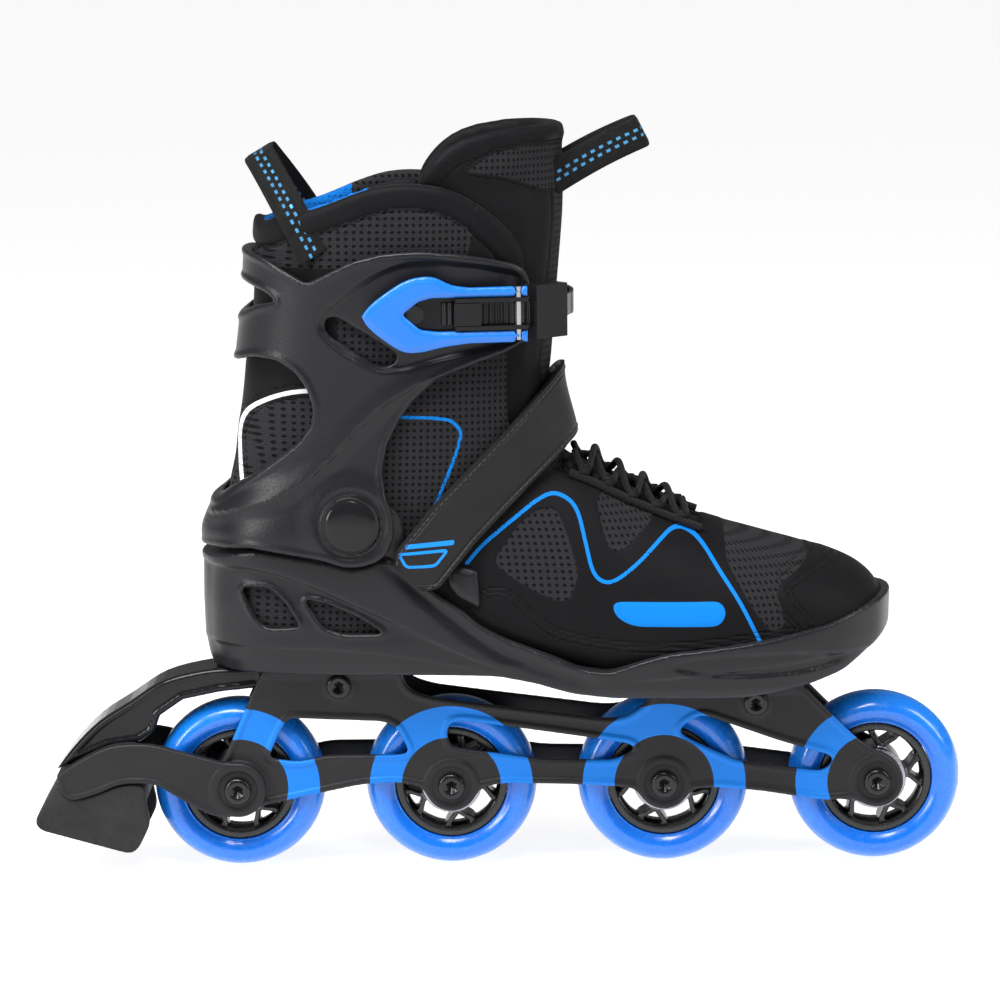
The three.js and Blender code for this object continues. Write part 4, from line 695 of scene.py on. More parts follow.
LOW_LINE = np.array([(-150, 111), (-86, 111), (-58, 109), (-35, 105.5), (-12, 101), (15, 95), (60, 86),
    (200, 80)])
RIM_LINE = np.array([(-150, 190), (-70, 172), (-45, 153), (-27, 137), (-9, 122.5), (2, 116), (27, 106.5),
    (50, 99.5), (80, 104), (200, 104)])
VENTS = [
    [(-117, 138), (-104, 138.5), (-97, 132), (-90, 120.5), (-105, 119.5), (-110, 123), (-114, 130)],
    [(-88, 133.5), (-78, 131.5), (-64, 125.5), (-52, 117.5), (-70, 117.5), (-79, 120), (-83, 125.5)],
]
EAR = [(-150, 140), (-40, 135), (-43, 150), (-41, 166), (-47, 176), (-58, 182), (-72, 180.5), (-92, 171),
    (-150, 168)]
TUCK = np.array([(82, 14), (88, 7), (92, 4.6), (97, 3), (103, 1.4), (112, 0.5), (130, 0.1), (172, 0)])


def line_height(line, x):
    return np.interp(x, line[:, 0], line[:, 1])


def shell_relief(x, z):
    """How far the outer face is cut in behind its widest outline."""
    rear = 1 - ramp(x, -35, 25)
    below = line_height(RIDGE, x) - z
    low = line_height(LOW_LINE, x) - z
    cut = 1.9 * ramp(below, -0.8, 1.5) * rear
    cut = cut - 0.9 * ramp(below, 2.0, 22) * rear
    cut = cut + (0.7 * ramp(low, -0.4, 0.8) + 0.2 * np.clip(low, 0, 12)) * rear
    rim = line_height(RIM_LINE, x) - z
    rimmed = ramp(x, -62, -35) * (1 - ramp(x, 36, 52))
    cut = cut + 1.9 * np.exp(-(((rim - 7.5) / 4.2) ** 2)) * rimmed
    lens = np.hypot((x - 118) / 40, (z - 103.5) / 5.5)
    cut = cut + 1.6 * ramp(lens, 1.08, 0.86)
    band = z - 96 - 0.1 * np.clip(x - 60, 0, 99)
    cut = cut + 0.9 * ramp(band, 0.8, -0.8) * ramp(x, 55, 75)
    for vent in VENTS:
        near = edge(eased(vent, 3), x, z)
        cut = cut - 0.9 * ramp(near, 2.6, 1.4) + 0.5 * ramp(near, 1.2, 0.2)
    return cut


def shell_field(x, y, z):
    plan = edge(PLAN, x, y) + line_height(TUCK, z)
    side = edge(eased(SHELL_SIDE, 3.5), x, z)
    flank = ramp(np.abs(y), 6, 16)
    outer = plan + shell_relief(x, z) * np.where(x > 60, 1, 0.35 + 0.65 * flank)
    gap = boot_gap(x, y, z)
    made = both(both(outer, side, 1.3), 0.4 - gap, 0.8)
    ear = both(edge(eased(EAR, 5), x, z), np.abs(leg_gap(x, y, z) - 1.85) - 1.45, 0.6)
    made = either(made, np.maximum(ear, 137 - z), 1.0)
    made = np.maximum(made, 0.4 - gap)
    for vent in VENTS:
        made = both(made, -np.maximum(edge(eased(vent, 3), x, z), 18 - np.abs(y)), 0.9)
    for middle, sole in ((-74, 97), (119, 87)):
        lug = np.maximum(np.maximum(np.abs(x - middle) - 9, np.abs(y) - 12.7), np.abs(z - sole + 6.5) - 8.5)
        bore = 2.8 - np.hypot(x - middle, z - sole + 8.8)
        made = np.minimum(made, np.maximum(lug, bore))
    rivet = np.maximum(np.hypot(x + 66, z - 169) - 5.3, 20 - np.abs(y))
    return np.maximum(made, -rivet)


shell = moulded("base_shell_moulded", (-140, -58, 71), (186, 61, 186), 1.0, shell_field,
    shell_plastic.material)
px, py, pz = places(shell)
vents = np.min([np.abs(edge(eased(v, 3), px, pz)) for v in VENTS], axis=0)
rim_gap = np.abs(edge(eased(SHELL_SIDE, 3.5), px, pz))
brim = np.minimum(np.abs(vents - 0.2) + 0.3, np.where(pz > 99, rim_gap, 9) + 0.2)
# The ridge line adds a painted highlight along the shell's crest to the brim mask.
brim = np.minimum(brim, np.abs(line_height(RIDGE, px) - pz) * 0.5 + 0.4 + 3 * ramp(px, -35, 10))
remember(shell, "brim", brim)
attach(shell, "boot")
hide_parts("base_shell")

# ---------------------------------------------------------------- cuff
# The moulded cuff: a skirt that swings on the shell, a spine that sweeps up to the buckle,
# and an arch round the back. Its edges are rolled.
CUFF_SIDE = [(-79, 152.5), (-95, 155), (-112, 157.2), (-130, 155.5), (-150, 153), (-150, 176),
    (-133, 176.5), (-127, 178.5), (-120, 184.5), (-108, 192), (-98, 199), (-89, 206), (-83, 214),
    (-82, 222), (-85, 231), (-90, 238), (-98, 243), (-109, 244), (-120, 240), (-150, 239), (-150, 260),
    (-118, 260.5), (-108, 267), (-98, 269.5), (-103, 273.5), (-115, 277.5), (-150, 279), (-150, 293),
    (-113, 291.5), (-103, 288.5), (-94, 283.5), (-84, 278), (-74, 283), (-63, 288.2), (-50, 291.5),
    (-34, 292.6), (-18, 291.2), (-4, 289), (8, 286.2), (13.5, 283.5), (15.8, 277), (16, 256), (14, 251),
    (5, 246), (-8, 242), (-18, 238), (-28, 233), (-36, 226), (-43, 217), (-49, 205), (-51.5, 193),
    (-50, 181), (-47, 172), (-46.5, 163), (-49, 156), (-54.5, 151.5), (-62, 149.3), (-70, 149.4)]
CUFF_SLOT = [(-76, 262), (-71, 263.5), (-43, 246), (-46, 241), (-53, 241), (-76, 256)]
SPINE = np.array([(-150, 166), (-130, 171), (-119, 174), (-103, 178.5), (-88, 187), (-74, 199),
    (-62, 212.5), (-49, 224), (-35, 232), (-20, 238), (3, 245), (14, 250), (40, 258)])
BUCKLE_RECESS = [(-79, 262), (-75, 266.5), (-62, 277), (-50, 284), (-40, 287.5), (-26, 288), (-8, 286),
    (9, 282.5), (13, 279), (13.5, 254), (9, 250), (-24, 243.5), (-42, 238.5), (-53, 238.5), (-70, 248),
    (-79, 256)]


def cuff_relief(x, y, z):
    below = line_height(SPINE, x) - z
    side = edge(SPINE, x, z, closed=False) * np.sign(below)
    pivot = np.hypot(x + 66, z - 169)
    cut = 1.5 * ramp(side, -0.6, 7) * (1 - 0.8 * ramp(pivot, 26, 15))
    cut = cut - 0.9 * ramp(side, -9, 0) * (side < 0) + 0.5 * ramp(side, -0.2, 1.0)
    cut = cut + 0.8 * np.exp(-(((pivot - 14.8) / 1.2) ** 2))
    recess = edge(eased(BUCKLE_RECESS, 5), x, z)
    return cut + np.where(y < 0, 2.0, 0.7) * ramp(recess, 0.6, -1.6)


def cuff_field(x, y, z):
    outline = edge(eased(CUFF_SIDE, 2.5, 4), x, z)
    bead = 0.7 * ramp(-outline, 3.6, 1.8)
    gap = leg_gap(x, y, z, CUFF)
    flank = ramp(np.abs(y), 8, 24)
    outer = gap + cuff_relief(x, y, z) * flank - bead
    made = both(both(outer, -4.2 - gap, 1.0), outline, 1.4)
    slot = edge(eased(CUFF_SLOT, 4), x, z)
    made = both(made, -np.maximum(slot, y), 1.2)
    seat = np.maximum(np.hypot(x + 66, z - 169) - 13.4, 44.4 - np.abs(y))
    made = np.maximum(made, -seat)
    made = np.maximum(made, -np.maximum(np.hypot(x + 66, z - 169) - 5.3, 20 - np.abs(y)))
    return np.maximum(made, 0.6 - leg_gap(x, y, z))


cuff = moulded("cuff_moulded", (-140, -53, 146), (40, 53, 296), 0.9, cuff_field, shell_plastic.material)
px, py, pz = places(cuff)
brim = np.abs(edge(eased(CUFF_SIDE, 2.5, 4), px, pz)) + 0.15
brim = np.minimum(brim, np.where(py < 0, np.abs(edge(eased(CUFF_SLOT, 4), px, pz)), 9) + 0.2)
# The spine line adds a painted highlight along the cuff's crest to the brim mask.
brim = np.minimum(brim, np.abs(edge(SPINE, px, pz, closed=False)) * 0.4 + 0.5)
remember(cuff, "brim", brim)
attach(cuff, "cuff")
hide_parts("cuff")

# ---------------------------------------------------------------- pivot caps
# Domed caps of glossy black nylon, pressed over the rivets that the cuff swings on, one
# at each ankle.
CAP = [(0, 3.6), (5, 3.5), (9, 3.0), (11.2, 2.3), (12.1, 1.5), (12.5, 1.9), (12.9, 1.7), (13.05, 0.9),
    (13.05, -0.3), (0, -0.3)]
for side_name, sign in (("lateral", -1), ("medial", 1)):
    cap = lathe(f"pivot_cap_{side_name}", [(r, sign * (44.7 + h)) for r, h in CAP], -66, 169, 72,
        gloss_black.material)
    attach(cap, "boot")
    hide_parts(f"cuff_pivot_{side_name}")

# ---------------------------------------------------------------- soft boot
# The laminated upper and collar are one skin: knitted mesh with smooth film heat-pressed
# over it, a stitched rand and toe cap, and a padded roll round the top.
COLLAR_TOP = [(-105, 304), (-97, 307), (-80, 311), (-63, 317.5), (-49, 321.5), (-34, 322), (-19, 319),
    (-5, 311), (6, 301), (13, 291)]
BOOT_SIDE = rounded([(-131, 88), (-131, 303), *COLLAR_TOP, (17, 281), (20, 262), (22, 244), (34, 238),
    (60, 230)], 3, closed=False).tolist() + [(200, 230), (200, 88)]
WAVE = rounded([(-14, 149), (-6, 158), (10, 171), (19, 177.5), (26, 180), (33, 177), (37, 171), (40, 159),
    (43, 147), (47, 142), (53, 142), (63, 149), (74, 159), (80, 163), (86, 162.5), (93, 157), (101, 145),
    (110, 131), (119, 113)], 5, closed=False)
PANELS = [[(-2, 150), (10, 167), (18, 173), (27, 174), (32, 162), (37, 145), (33, 133), (28, 132),
    (18, 136), (6, 143)], [(45, 177), (52, 182), (67, 174), (72, 168), (56, 154), (50, 156)], [(104, 163),
    (118, 160), (131, 156), (145, 149), (133, 141), (126, 137), (131, 121), (124, 117), (114, 131),
    (104, 149)]]
TOE_CAP = [(141, 112), (138, 121), (132, 129), (127.5, 138), (134, 142), (146, 146.5), (160, 150)]
RAND = rounded([(-16, 118), (-10, 131), (-4, 135.5), (2, 136), (8, 132.5), (15, 126), (26, 118),
    (44, 113.5), (67, 111.5), (90, 112.5), (117, 115.5), (140, 118)], 4, closed=False)
BADGE = [(53, 132.6), (101, 132.6), (103.5, 127), (100, 121.4), (62, 121.4), (55, 124.5), (52, 129)]
COLLAR_LINE = rounded([(-52, 217), (-43, 217), (-24, 216), (-18, 213), (-16, 208), (-20, 195),
    (-28, 176)], 4, closed=False)
HEEL_ARC = rounded([(-116, 184), (-117, 196), (-117, 209), (-113, 218), (-104, 224), (-92, 228),
    (-78, 229.5)], 4, closed=False)


def throat(x, y, z):
    """The open front of the boot, where the tongue shows."""
    low = np.maximum(np.maximum(np.abs(y) - 20.5 + 0.06 * np.clip(x - 40, 0, 60), x - 94), 128 - z)
    low = np.maximum(low, -6 - x)
    high = np.maximum(np.maximum(np.abs(y) - 31, -3 - x), 206 - z)
    return either(low, high, 6)


def film(x, z):
    """Negative where film covers the mesh."""
    smooth = edge([(-30, 88), (-30, 170), (-10, 186), (14, 201), (40, 230), (240, 230), (240, 88)], x, z)
    for panel in PANELS:
        smooth = np.maximum(smooth, -edge(eased(panel, 4), x, z))
    return smooth


def boot_skin(x, y, z):
    gap = boot_gap(x, y, z)
    flat = np.broadcast_to(film(x, z), np.broadcast(x, z).shape)
    rand = edge(RAND, x, z, closed=False) * np.where(z < np.interp(x, RAND[:, 0], RAND[:, 1]), -1, 1)
    toe = edge(TOE_CAP + [(200, 152), (200, 100), (141, 100)], x, z)
    top = edge(BOOT_SIDE, x, z)
    lift = 0.35 * ramp(flat, 0.5, -0.5) + 0.5 * ramp(np.where(x > -16, rand, 9), 0.4, -0.6)
    lift = lift + 0.5 * ramp(toe, 0.4, -0.6)
    shell_room = ramp(np.minimum(z - line_height(RIM_LINE, x), 186 - z), 0, 3)
    lift = lift * np.where(x > 50, 1, shell_room) + 0.45 * ramp(-edge(eased(BADGE, 4), x, z), -0.3, 0.4)
    piping = 0.9 * np.exp(-((edge(HEEL_ARC, x, z, closed=False) / 1.5) ** 2)) * (x < -75)
    collar = ramp(z, 268, 290)
    roll = collar * 3.0 * ramp(-top, 16, 7) * (1 - ramp(x, 2, 16) * 0.5)
    seam = 1.3 * np.exp(-(((-top - 11.5) / 1.0) ** 2)) * collar
    soft = 0.5 * np.sin(x * 0.11 + z * 0.05) * np.sin(z * 0.09 - y * 0.06) * ramp(z, 190, 240)
    outer = gap - lift - piping - roll * 0.55 + seam - soft
    made = both(both(outer, -4 - gap - roll, 1.2), top, 4.2)
    return both(made, -throat(x, y, z), 2.0)


knit = Finish("boot_fabric")
px_socket, py_socket, pz_socket = (knit.axis(letter) for letter in "XYZ")


def cells(made, u, v, size):
    """Diamond cells of the given size in metres, as a height from 0 to 1."""
    turn = 2 * math.pi / size
    a = made.math("SINE", made.math("MULTIPLY", made.math("ADD", u, v), turn))
    b = made.math("SINE", made.math("MULTIPLY", made.math("SUBTRACT", u, v), turn))
    return made.math("MULTIPLY_ADD", made.math("MULTIPLY", a, b), 0.5, 0.5)


wrap = knit.math("ADD", px_socket, knit.math("MULTIPLY", py_socket, 0.85))
mesh_cells = cells(knit, wrap, pz_socket, 0.0062)
fine_yarn = cells(knit, wrap, pz_socket, 0.0014)
is_film = knit.between(knit.stored("film"), 0.15, -0.15)
is_line = knit.between(knit.stored("line"), 0.12, -0.12)
is_white = knit.between(knit.stored("white"), 0.12, -0.12)
stitch_gap = knit.stored("stitch")
groove = knit.between(stitch_gap, 0.9, 0.1)
dash = knit.math("GREATER_THAN", knit.math("SINE", knit.math("MULTIPLY", knit.math("ADD", wrap, pz_socket),
    1750)), -0.2)
thread = knit.math("MULTIPLY", knit.between(stitch_gap, 0.5, 0.3), dash)
hole = knit.between(mesh_cells, 0.62, 0.9)
open_mesh = knit.mixed(hole, (0.0190, 0.0190, 0.0210), (0.0006, 0.0006, 0.0008))
open_mesh = knit.mixed(knit.math("MULTIPLY", fine_yarn, 0.3), open_mesh, (0.024, 0.024, 0.026))
plain = knit.mixed(knit.noise(90, 4), (0.0046, 0.0045, 0.0052), (0.0072, 0.0070, 0.0080))
cloth = knit.mixed(is_film, open_mesh, plain)
cloth = knit.mixed(knit.math("MULTIPLY", thread, 0.8), cloth, (0.002, 0.002, 0.002))
cloth = knit.mixed(is_line, cloth, (0.004, 0.165, 0.55))
cloth = knit.mixed(is_white, cloth, (0.62, 0.63, 0.66))
inner_blue = knit.between(knit.stored("lining"), 0.2, -0.2)
cloth = knit.mixed(inner_blue, cloth, (0.004, 0.12, 0.42))
relief = knit.math("MULTIPLY", knit.math("SUBTRACT", 1.0, is_film),
    knit.math("SUBTRACT", knit.math("MULTIPLY", fine_yarn, 0.35), hole))
relief = knit.math("SUBTRACT", relief, knit.math("MULTIPLY", groove, 0.8))
grainy = knit.bump(knit.noise(1400, 3), 0.00009)
knit.finish(
    base_color=cloth,
    roughness=knit.mixed(is_film, (0.85, 0.85, 0.85), (0.56, 0.56, 0.56)),
    sheen_weight=0.02,
    sheen_roughness=0.45,
    specular_ior_level=0.06,
    normal=knit.bump(relief, 0.0006, under=grainy),
)


def boot_marks(obj):
    """What the boot's fabric needs to know about each point."""
    x, y, z = places(obj)
    flat = film(x, z)
    gap = boot_gap(x, y, z)
    rand = edge(RAND, x, z, closed=False)
    toe = edge(TOE_CAP, x, z, closed=False)
    top = edge(BOOT_SIDE, x, z)
    below_rand = (z < np.interp(x, RAND[:, 0], RAND[:, 1])) & (x > -16)
    heel = (x < -70) & (z > 222 + (x + 100) * 0.2) & (z < 285)
    on_toe = edge(TOE_CAP + [(200, 152), (200, 100), (141, 100)], x, z) < 0
    roll = (-top < 11) & (z > 262)
    patch = edge([(-6, 312), (14, 290), (20, 262), (20, 240), (4, 262), (-12, 290)], x, z)
    smooth = np.where(below_rand | on_toe | heel | roll, -1.0, np.minimum(flat, patch))
    outside = gap > -1.6
    line = np.minimum(edge(WAVE, x, z, closed=False) - 0.85, edge(eased(BADGE, 4), x, z))
    line = np.minimum(line, edge(COLLAR_LINE, x, z, closed=False) - 0.75)
    remember(obj, "film", np.where(outside, smooth, 1))
    remember(obj, "line", np.where(outside, line, 2))
    remember(obj, "white", np.where(outside & (x < -76), edge(HEEL_ARC, x, z, closed=False) - 1.0, 2))
    rows = [np.abs(rand - 2.2), np.abs(rand - 0.1) + 0.3, np.where(x > 126, np.abs(toe - 2.2), 5)]
    rows += [np.where(x > 126, np.abs(toe - 4.4), 5), np.abs(-top - 12) + (z < 262) * 5]
    rows += [np.abs(edge(HEEL_ARC, x, z, closed=False) - 3.2) + (x > -78) * 5]
    for panel in PANELS:
        rows.append(np.abs(edge(eased(panel, 4), x, z)) + 0.3)
    rows.append(np.abs(patch - 2.0) + 0.1)
    remember(obj, "stitch", np.where(outside, np.min(rows, axis=0), 5))
    remember(obj, "lining", np.maximum.reduce([x + 66, -top - 22, 262 - z, gap + 3.2]))


boot = moulded("boot_fabric", (-130, -56, 90), (184, 61, 326), 1.25, boot_skin, knit.material)
boot_marks(boot)
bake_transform(boot)
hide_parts("upper_foot", "upper_collar")


# ---------------------------------------------------------------- tongue
# A padded tongue, mesh in front with smooth sides and a rolled, piped top. Foam and air
# fill it, so it is inflated as cloth and then trimmed back to its room.
CLOTH_FRAMES = 20


def inflated(obj, most):
    """The piece after a short cloth simulation under pressure, moved at most so far (m)."""
    start = np.zeros(len(obj.data.vertices) * 3, np.float32)
    obj.data.vertices.foreach_get("co", start)
    cloth = obj.modifiers.new("cloth", "CLOTH")
    cloth.settings.quality = 5
    cloth.settings.mass = 0.3
    cloth.settings.tension_stiffness = 12
    cloth.settings.bending_stiffness = 2
    cloth.settings.use_pressure = True
    cloth.settings.uniform_pressure_force = 4
    cloth.settings.effector_weights.gravity = 0
    cloth.point_cache.frame_start, cloth.point_cache.frame_end = 1, CLOTH_FRAMES
    scene = bpy.context.scene
    for number in range(1, CLOTH_FRAMES + 1):
        scene.frame_set(number)
    scene_graph = bpy.context.evaluated_depsgraph_get()
    puffed = obj.evaluated_get(scene_graph).to_mesh()
    end = np.zeros(len(start), np.float32)
    puffed.vertices.foreach_get("co", end)
    move = (end - start).reshape(-1, 3)
    move = np.nan_to_num(move - np.median(move, axis=0))
    far = np.linalg.norm(move, axis=1, keepdims=True)
    move *= np.minimum(1, most / np.maximum(far, 1e-9))
    obj.modifiers.remove(cloth)
    obj.data.vertices.foreach_set("co", (start.reshape(-1, 3) + move).ravel())
    scene.frame_set(1)
    return obj


def subdivided(obj):
    """One level of subdivision, applied."""
    obj.modifiers.new("smooth", "SUBSURF").levels = 1
    graph = bpy.context.evaluated_depsgraph_get()
    mesh = bpy.data.meshes.new_from_object(obj.evaluated_get(graph))
    obj.modifiers.clear()
    obj.data = mesh
    return obj


TONGUE_SIDE = [(-33, 252), (-35, 316), (-34, 324), (-28, 332.5), (-20, 339), (-10, 343), (3, 345.5),
    (14, 347), (28, 347.4), (45, 347), (45, 225), (64, 196), (98, 168), (98, 140), (60, 140), (20, 165),
    (-6, 196), (-20, 225)]


def tongue_field(x, y, z):
    gap = boot_gap(x, y, z)
    side = np.maximum(edge(eased(TONGUE_SIDE, 5), x, z), np.where(z < 205, np.abs(y) - 25, -9))
    above = ramp(z, 318, 330)
    front = -1.0 * (1 - ramp(np.abs(y), 24, 32)) - 5.4 * ramp(np.abs(y), 24, 32) * (1 - 0.55 * above)
    front = front - 2.4 * (1 - ramp(z, 196, 214))
    roll = 1.6 * ramp(-side, 9, 4) * ramp(z, 312, 326)
    seam = 1.2 * np.exp(-(((-side - 10) / 1.0) ** 2)) * ramp(z, 306, 318)
    return both(both(gap - front - roll + seam, front - 6.6 - gap - roll, 2.2), side, 3.4)


tongue = moulded("tongue_padded", (-40, -42, 150), (100, 44, 350), 2.3, tongue_field, knit.material)
inflated(tongue, 0.0012)
subdivided(tongue)
px, py, pz = places(tongue)
inside_edge = -edge(eased(TONGUE_SIDE, 5), px, pz)
panel = edge([(-12, 327), (0, 335), (15, 338), (60, 338), (60, 318), (22, 318), (6, 324)], px, pz)
low_panel = edge([(20, 318), (60, 318), (60, 180), (16, 180), (12, 250)], px, pz)
mesh_panel = np.minimum(panel, np.maximum(low_panel, np.abs(py) - 17))
remember(tongue, "film", -mesh_panel)
remember(tongue, "line", np.full(len(px), 2.0))
remember(tongue, "white", np.full(len(px), 2.0))
remember(tongue, "lining", np.full(len(px), 2.0))
rows = np.minimum(np.abs(mesh_panel - 1.6), np.abs(inside_edge - 10) + np.where(pz > 300, 0, 5))
remember(tongue, "stitch", np.minimum(rows, np.abs(np.abs(py) - 19.5) + np.where(pz < 316, 0, 5)))
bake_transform(tongue)
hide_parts("tongue_upper", "tongue_lower")

# ---------------------------------------------------------------- collar lining
# The padded inside of the collar: brushed knit over foam, bright blue round the back,
# sewn along the collar. It is inflated as cloth like the tongue.
LINING_SIDE = [(-131, 186), (-131, 296), (-105, 301), (-97, 304), (-80, 308), (-63, 314), (-49, 318),
    (-36, 319), (-33, 300), (-33, 206), (-60, 190)]


def lining_field(x, y, z):
    gap = boot_gap(x, y, z)
    quilt = 0.7 * np.exp(-((((z + 6 * np.cos(x * 0.05)) % 26 - 13) / 2.2) ** 2))
    return both(both(gap + 4.6, -10.6 - gap + quilt, 2.4), edge(eased(LINING_SIDE, 6), x, z), 3.5)


lining_knit = Finish("lining_knit")
lx, ly, lz = (lining_knit.axis(letter) for letter in "XYZ")
pile = cells(lining_knit, lining_knit.math("ADD", lx, ly), lz, 0.0022)
is_blue = lining_knit.between(lx, -0.058, -0.060)
weft = lining_knit.mixed(pile, (0.004, 0.11, 0.40), (0.010, 0.17, 0.52))
dark_weft = lining_knit.mixed(pile, (0.007, 0.007, 0.008), (0.014, 0.014, 0.015))
lining_knit.finish(
    base_color=lining_knit.mixed(is_blue, dark_weft, weft),
    roughness=0.9,
    sheen_weight=0.04,
    sheen_roughness=0.4,
    specular_ior_level=0.1,
    normal=lining_knit.bump(pile, 0.0003, under=lining_knit.bump(lining_knit.noise(900, 3), 0.0001)),
)
lining = moulded("collar_lining", (-122, -44, 180), (-28, 44, 322), 2.4, lining_field, lining_knit.material)
inflated(lining, 0.0010)
subdivided(lining)
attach(lining, "cuff")
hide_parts("liner")


# ---------------------------------------------------------------- footbed
# A thin moulded foam insole with a brushed knit cover. It lies loose on the floor of the
# shell.
def footbed_field(x, y, z):
    low = np.interp(x, FOOT[:, 0], FOOT[:, 1])
    return both(both(foot_gap(x, y, z) + 4.9, z - low - 8.0 - 0.002 * y * y, 1.0), np.abs(x - 22) - 138, 2.0)


footbed = moulded("footbed_moulded", (-118, -50, 94), (166, 56, 122), 1.5, footbed_field,
    lining_knit.material)
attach(footbed, "boot")
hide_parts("footbed")


# ---------------------------------------------------------------- instep strap
# Synthetic leather, doubled: from the shell over the instep, round the ring and back to a
# stitched end. Thread runs inside both edges; the end carries a plain blue outline.
def crossing(gap, start, direction, reach=90.0):
    """How far along each ray the gap first passes zero."""
    start, direction = np.asarray(start, float), np.asarray(direction, float)
    high = np.full(len(start), reach)
    steps = np.linspace(0, reach, 46)
    for step in steps[::-1]:
        at = start + direction * step
        high = np.where(gap(*at.T) > 0, step, high)
    low = high - steps[1]
    for _ in range(10):
        middle = (low + high) / 2
        at = start + direction * middle[:, None]
        out = gap(*at.T) > 0
        low, high = np.where(out, low, middle), np.where(out, middle, high)
    return start + direction * high[:, None]


def ribbon(name, grid, thickness, material):
    """A flat strip over a grid of points (along, across), with slightly rounded edges."""
    grid = np.asarray(grid, float)
    along = np.gradient(grid, axis=0)
    across = np.gradient(grid, axis=1)
    out = np.cross(along, across)
    out /= np.linalg.norm(out, axis=2, keepdims=True) + 1e-9
    n, m = grid.shape[:2]
    slim = np.ones(m)
    slim[[0, -1]] = 0.45
    half = out * (thickness / 2) * slim[None, :, None]
    points = np.concatenate([(grid + half).reshape(-1, 3), (grid - half).reshape(-1, 3)])
    faces = []
    for i in range(n - 1):
        for j in range(m - 1):
            a = i * m + j
            faces.append((a, a + m, a + m + 1, a + 1))
            b = a + n * m
            faces.append((b, b + 1, b + m + 1, b + m))
    rim = [i * m for i in range(n)] + [(n - 1) * m + j for j in range(1, m)]
    rim += [i * m + m - 1 for i in range(n - 2, -1, -1)] + list(range(m - 2, 0, -1))
    for a, b in zip(rim, rim[1:] + rim[:1]):
        faces.append((a, b, b + n * m, a + n * m))
    made = build(name, points, faces, material)
    shape = bmesh.new()
    shape.from_mesh(made.data)
    bmesh.ops.recalc_face_normals(shape, faces=shape.faces)
    shape.to_mesh(made.data)
    shape.free()
    length = np.concatenate([[0], np.cumsum(np.linalg.norm(np.diff(grid[:, m // 2], axis=0), axis=1))])
    width = np.concatenate([[0], np.cumsum(np.linalg.norm(np.diff(grid[n // 2], axis=0), axis=1))])
    remember(made, "along", np.tile(np.repeat(length, m), 2))
    remember(made, "across", np.tile(np.tile(width - width[-1] / 2, n), 2))
    return made


def threads(name, centres, ways, length, radius, material):
    """Short stitches of thread: a tapered prism at each centre, in millimetres."""
    points, faces = [], []
    for centre, way in zip(np.asarray(centres, float), np.asarray(ways, float)):
        way = way / (np.linalg.norm(way) + 1e-9)
        side_way = np.cross(way, (0.31, 0.2, 0.93))
        side_way /= np.linalg.norm(side_way)
        up_way = np.cross(side_way, way)
        base = len(points)
        for share, size in ((-0.5, 0.35), (-0.36, 0.9), (0, 1.0), (0.36, 0.9), (0.5, 0.35)):
            for k in range(6):
                turn = k * math.pi / 3
                round_way = math.cos(turn) * side_way + math.sin(turn) * up_way
                points.append(centre + way * length * share + round_way * radius * size)
        for ring in range(4):
            for k in range(6):
                a = base + ring * 6 + k
                b = base + ring * 6 + (k + 1) % 6
                faces.append((a, b, b + 6, a + 6))
        faces.append(tuple(base + k for k in range(5, -1, -1)))
        faces.append(tuple(base + 24 + k for k in range(6)))
    mesh = bpy.data.meshes.new(name)
    mesh.from_pydata((np.array(points) / 1000).tolist(), [], faces)
    mesh.materials.append(material)
    obj = bpy.data.objects.new(name, mesh)
    bpy.context.collection.objects.link(obj)
    return obj


RISE = math.radians(48.8)
STRAP_ALONG = np.array([math.cos(RISE), 0, math.sin(RISE)])
STRAP_UP = np.array([-math.sin(RISE), 0, math.cos(RISE)])
STRAP_FOOT = np.array([-30.0, 0, 147])
TURNS = np.linspace(-0.70 * math.pi, 0.60 * math.pi, 66)
ACROSS = np.array([-12.8, -12.2, -9, -6, -3, 0, 3, 6, 9, 12.2, 12.8])


def strap_layer(off, ring_off):
    rows = []
    for turn in TURNS:
        share = (turn - TURNS[0]) / (TURNS[-1] - TURNS[0])
        middle = 5.5 - 5.0 * min(1, share / 0.5)
        height = off + (ring_off - off) * ramp(np.float64(share), 0.62, 0.97)
        start = STRAP_FOOT + STRAP_ALONG * 50 + np.outer(ACROSS + middle, STRAP_UP)
        ray = STRAP_ALONG * math.cos(turn) + np.array([0, math.sin(turn), 0])
        rows.append(crossing(lambda x, y, z: boot_gap(x, y, z) - height, start,
            np.tile(ray, (len(ACROSS), 1))))
    rows = np.array(rows)
    foot = STRAP_FOOT + np.outer(ACROSS + 5.5, STRAP_UP)
    foot[:, 1] = -43.6 - off + 1.2
    blend_rows = [rows[0] * (1 - t) + foot * t for t in np.linspace(1, 0.08, 9)]
    return np.array(blend_rows), rows


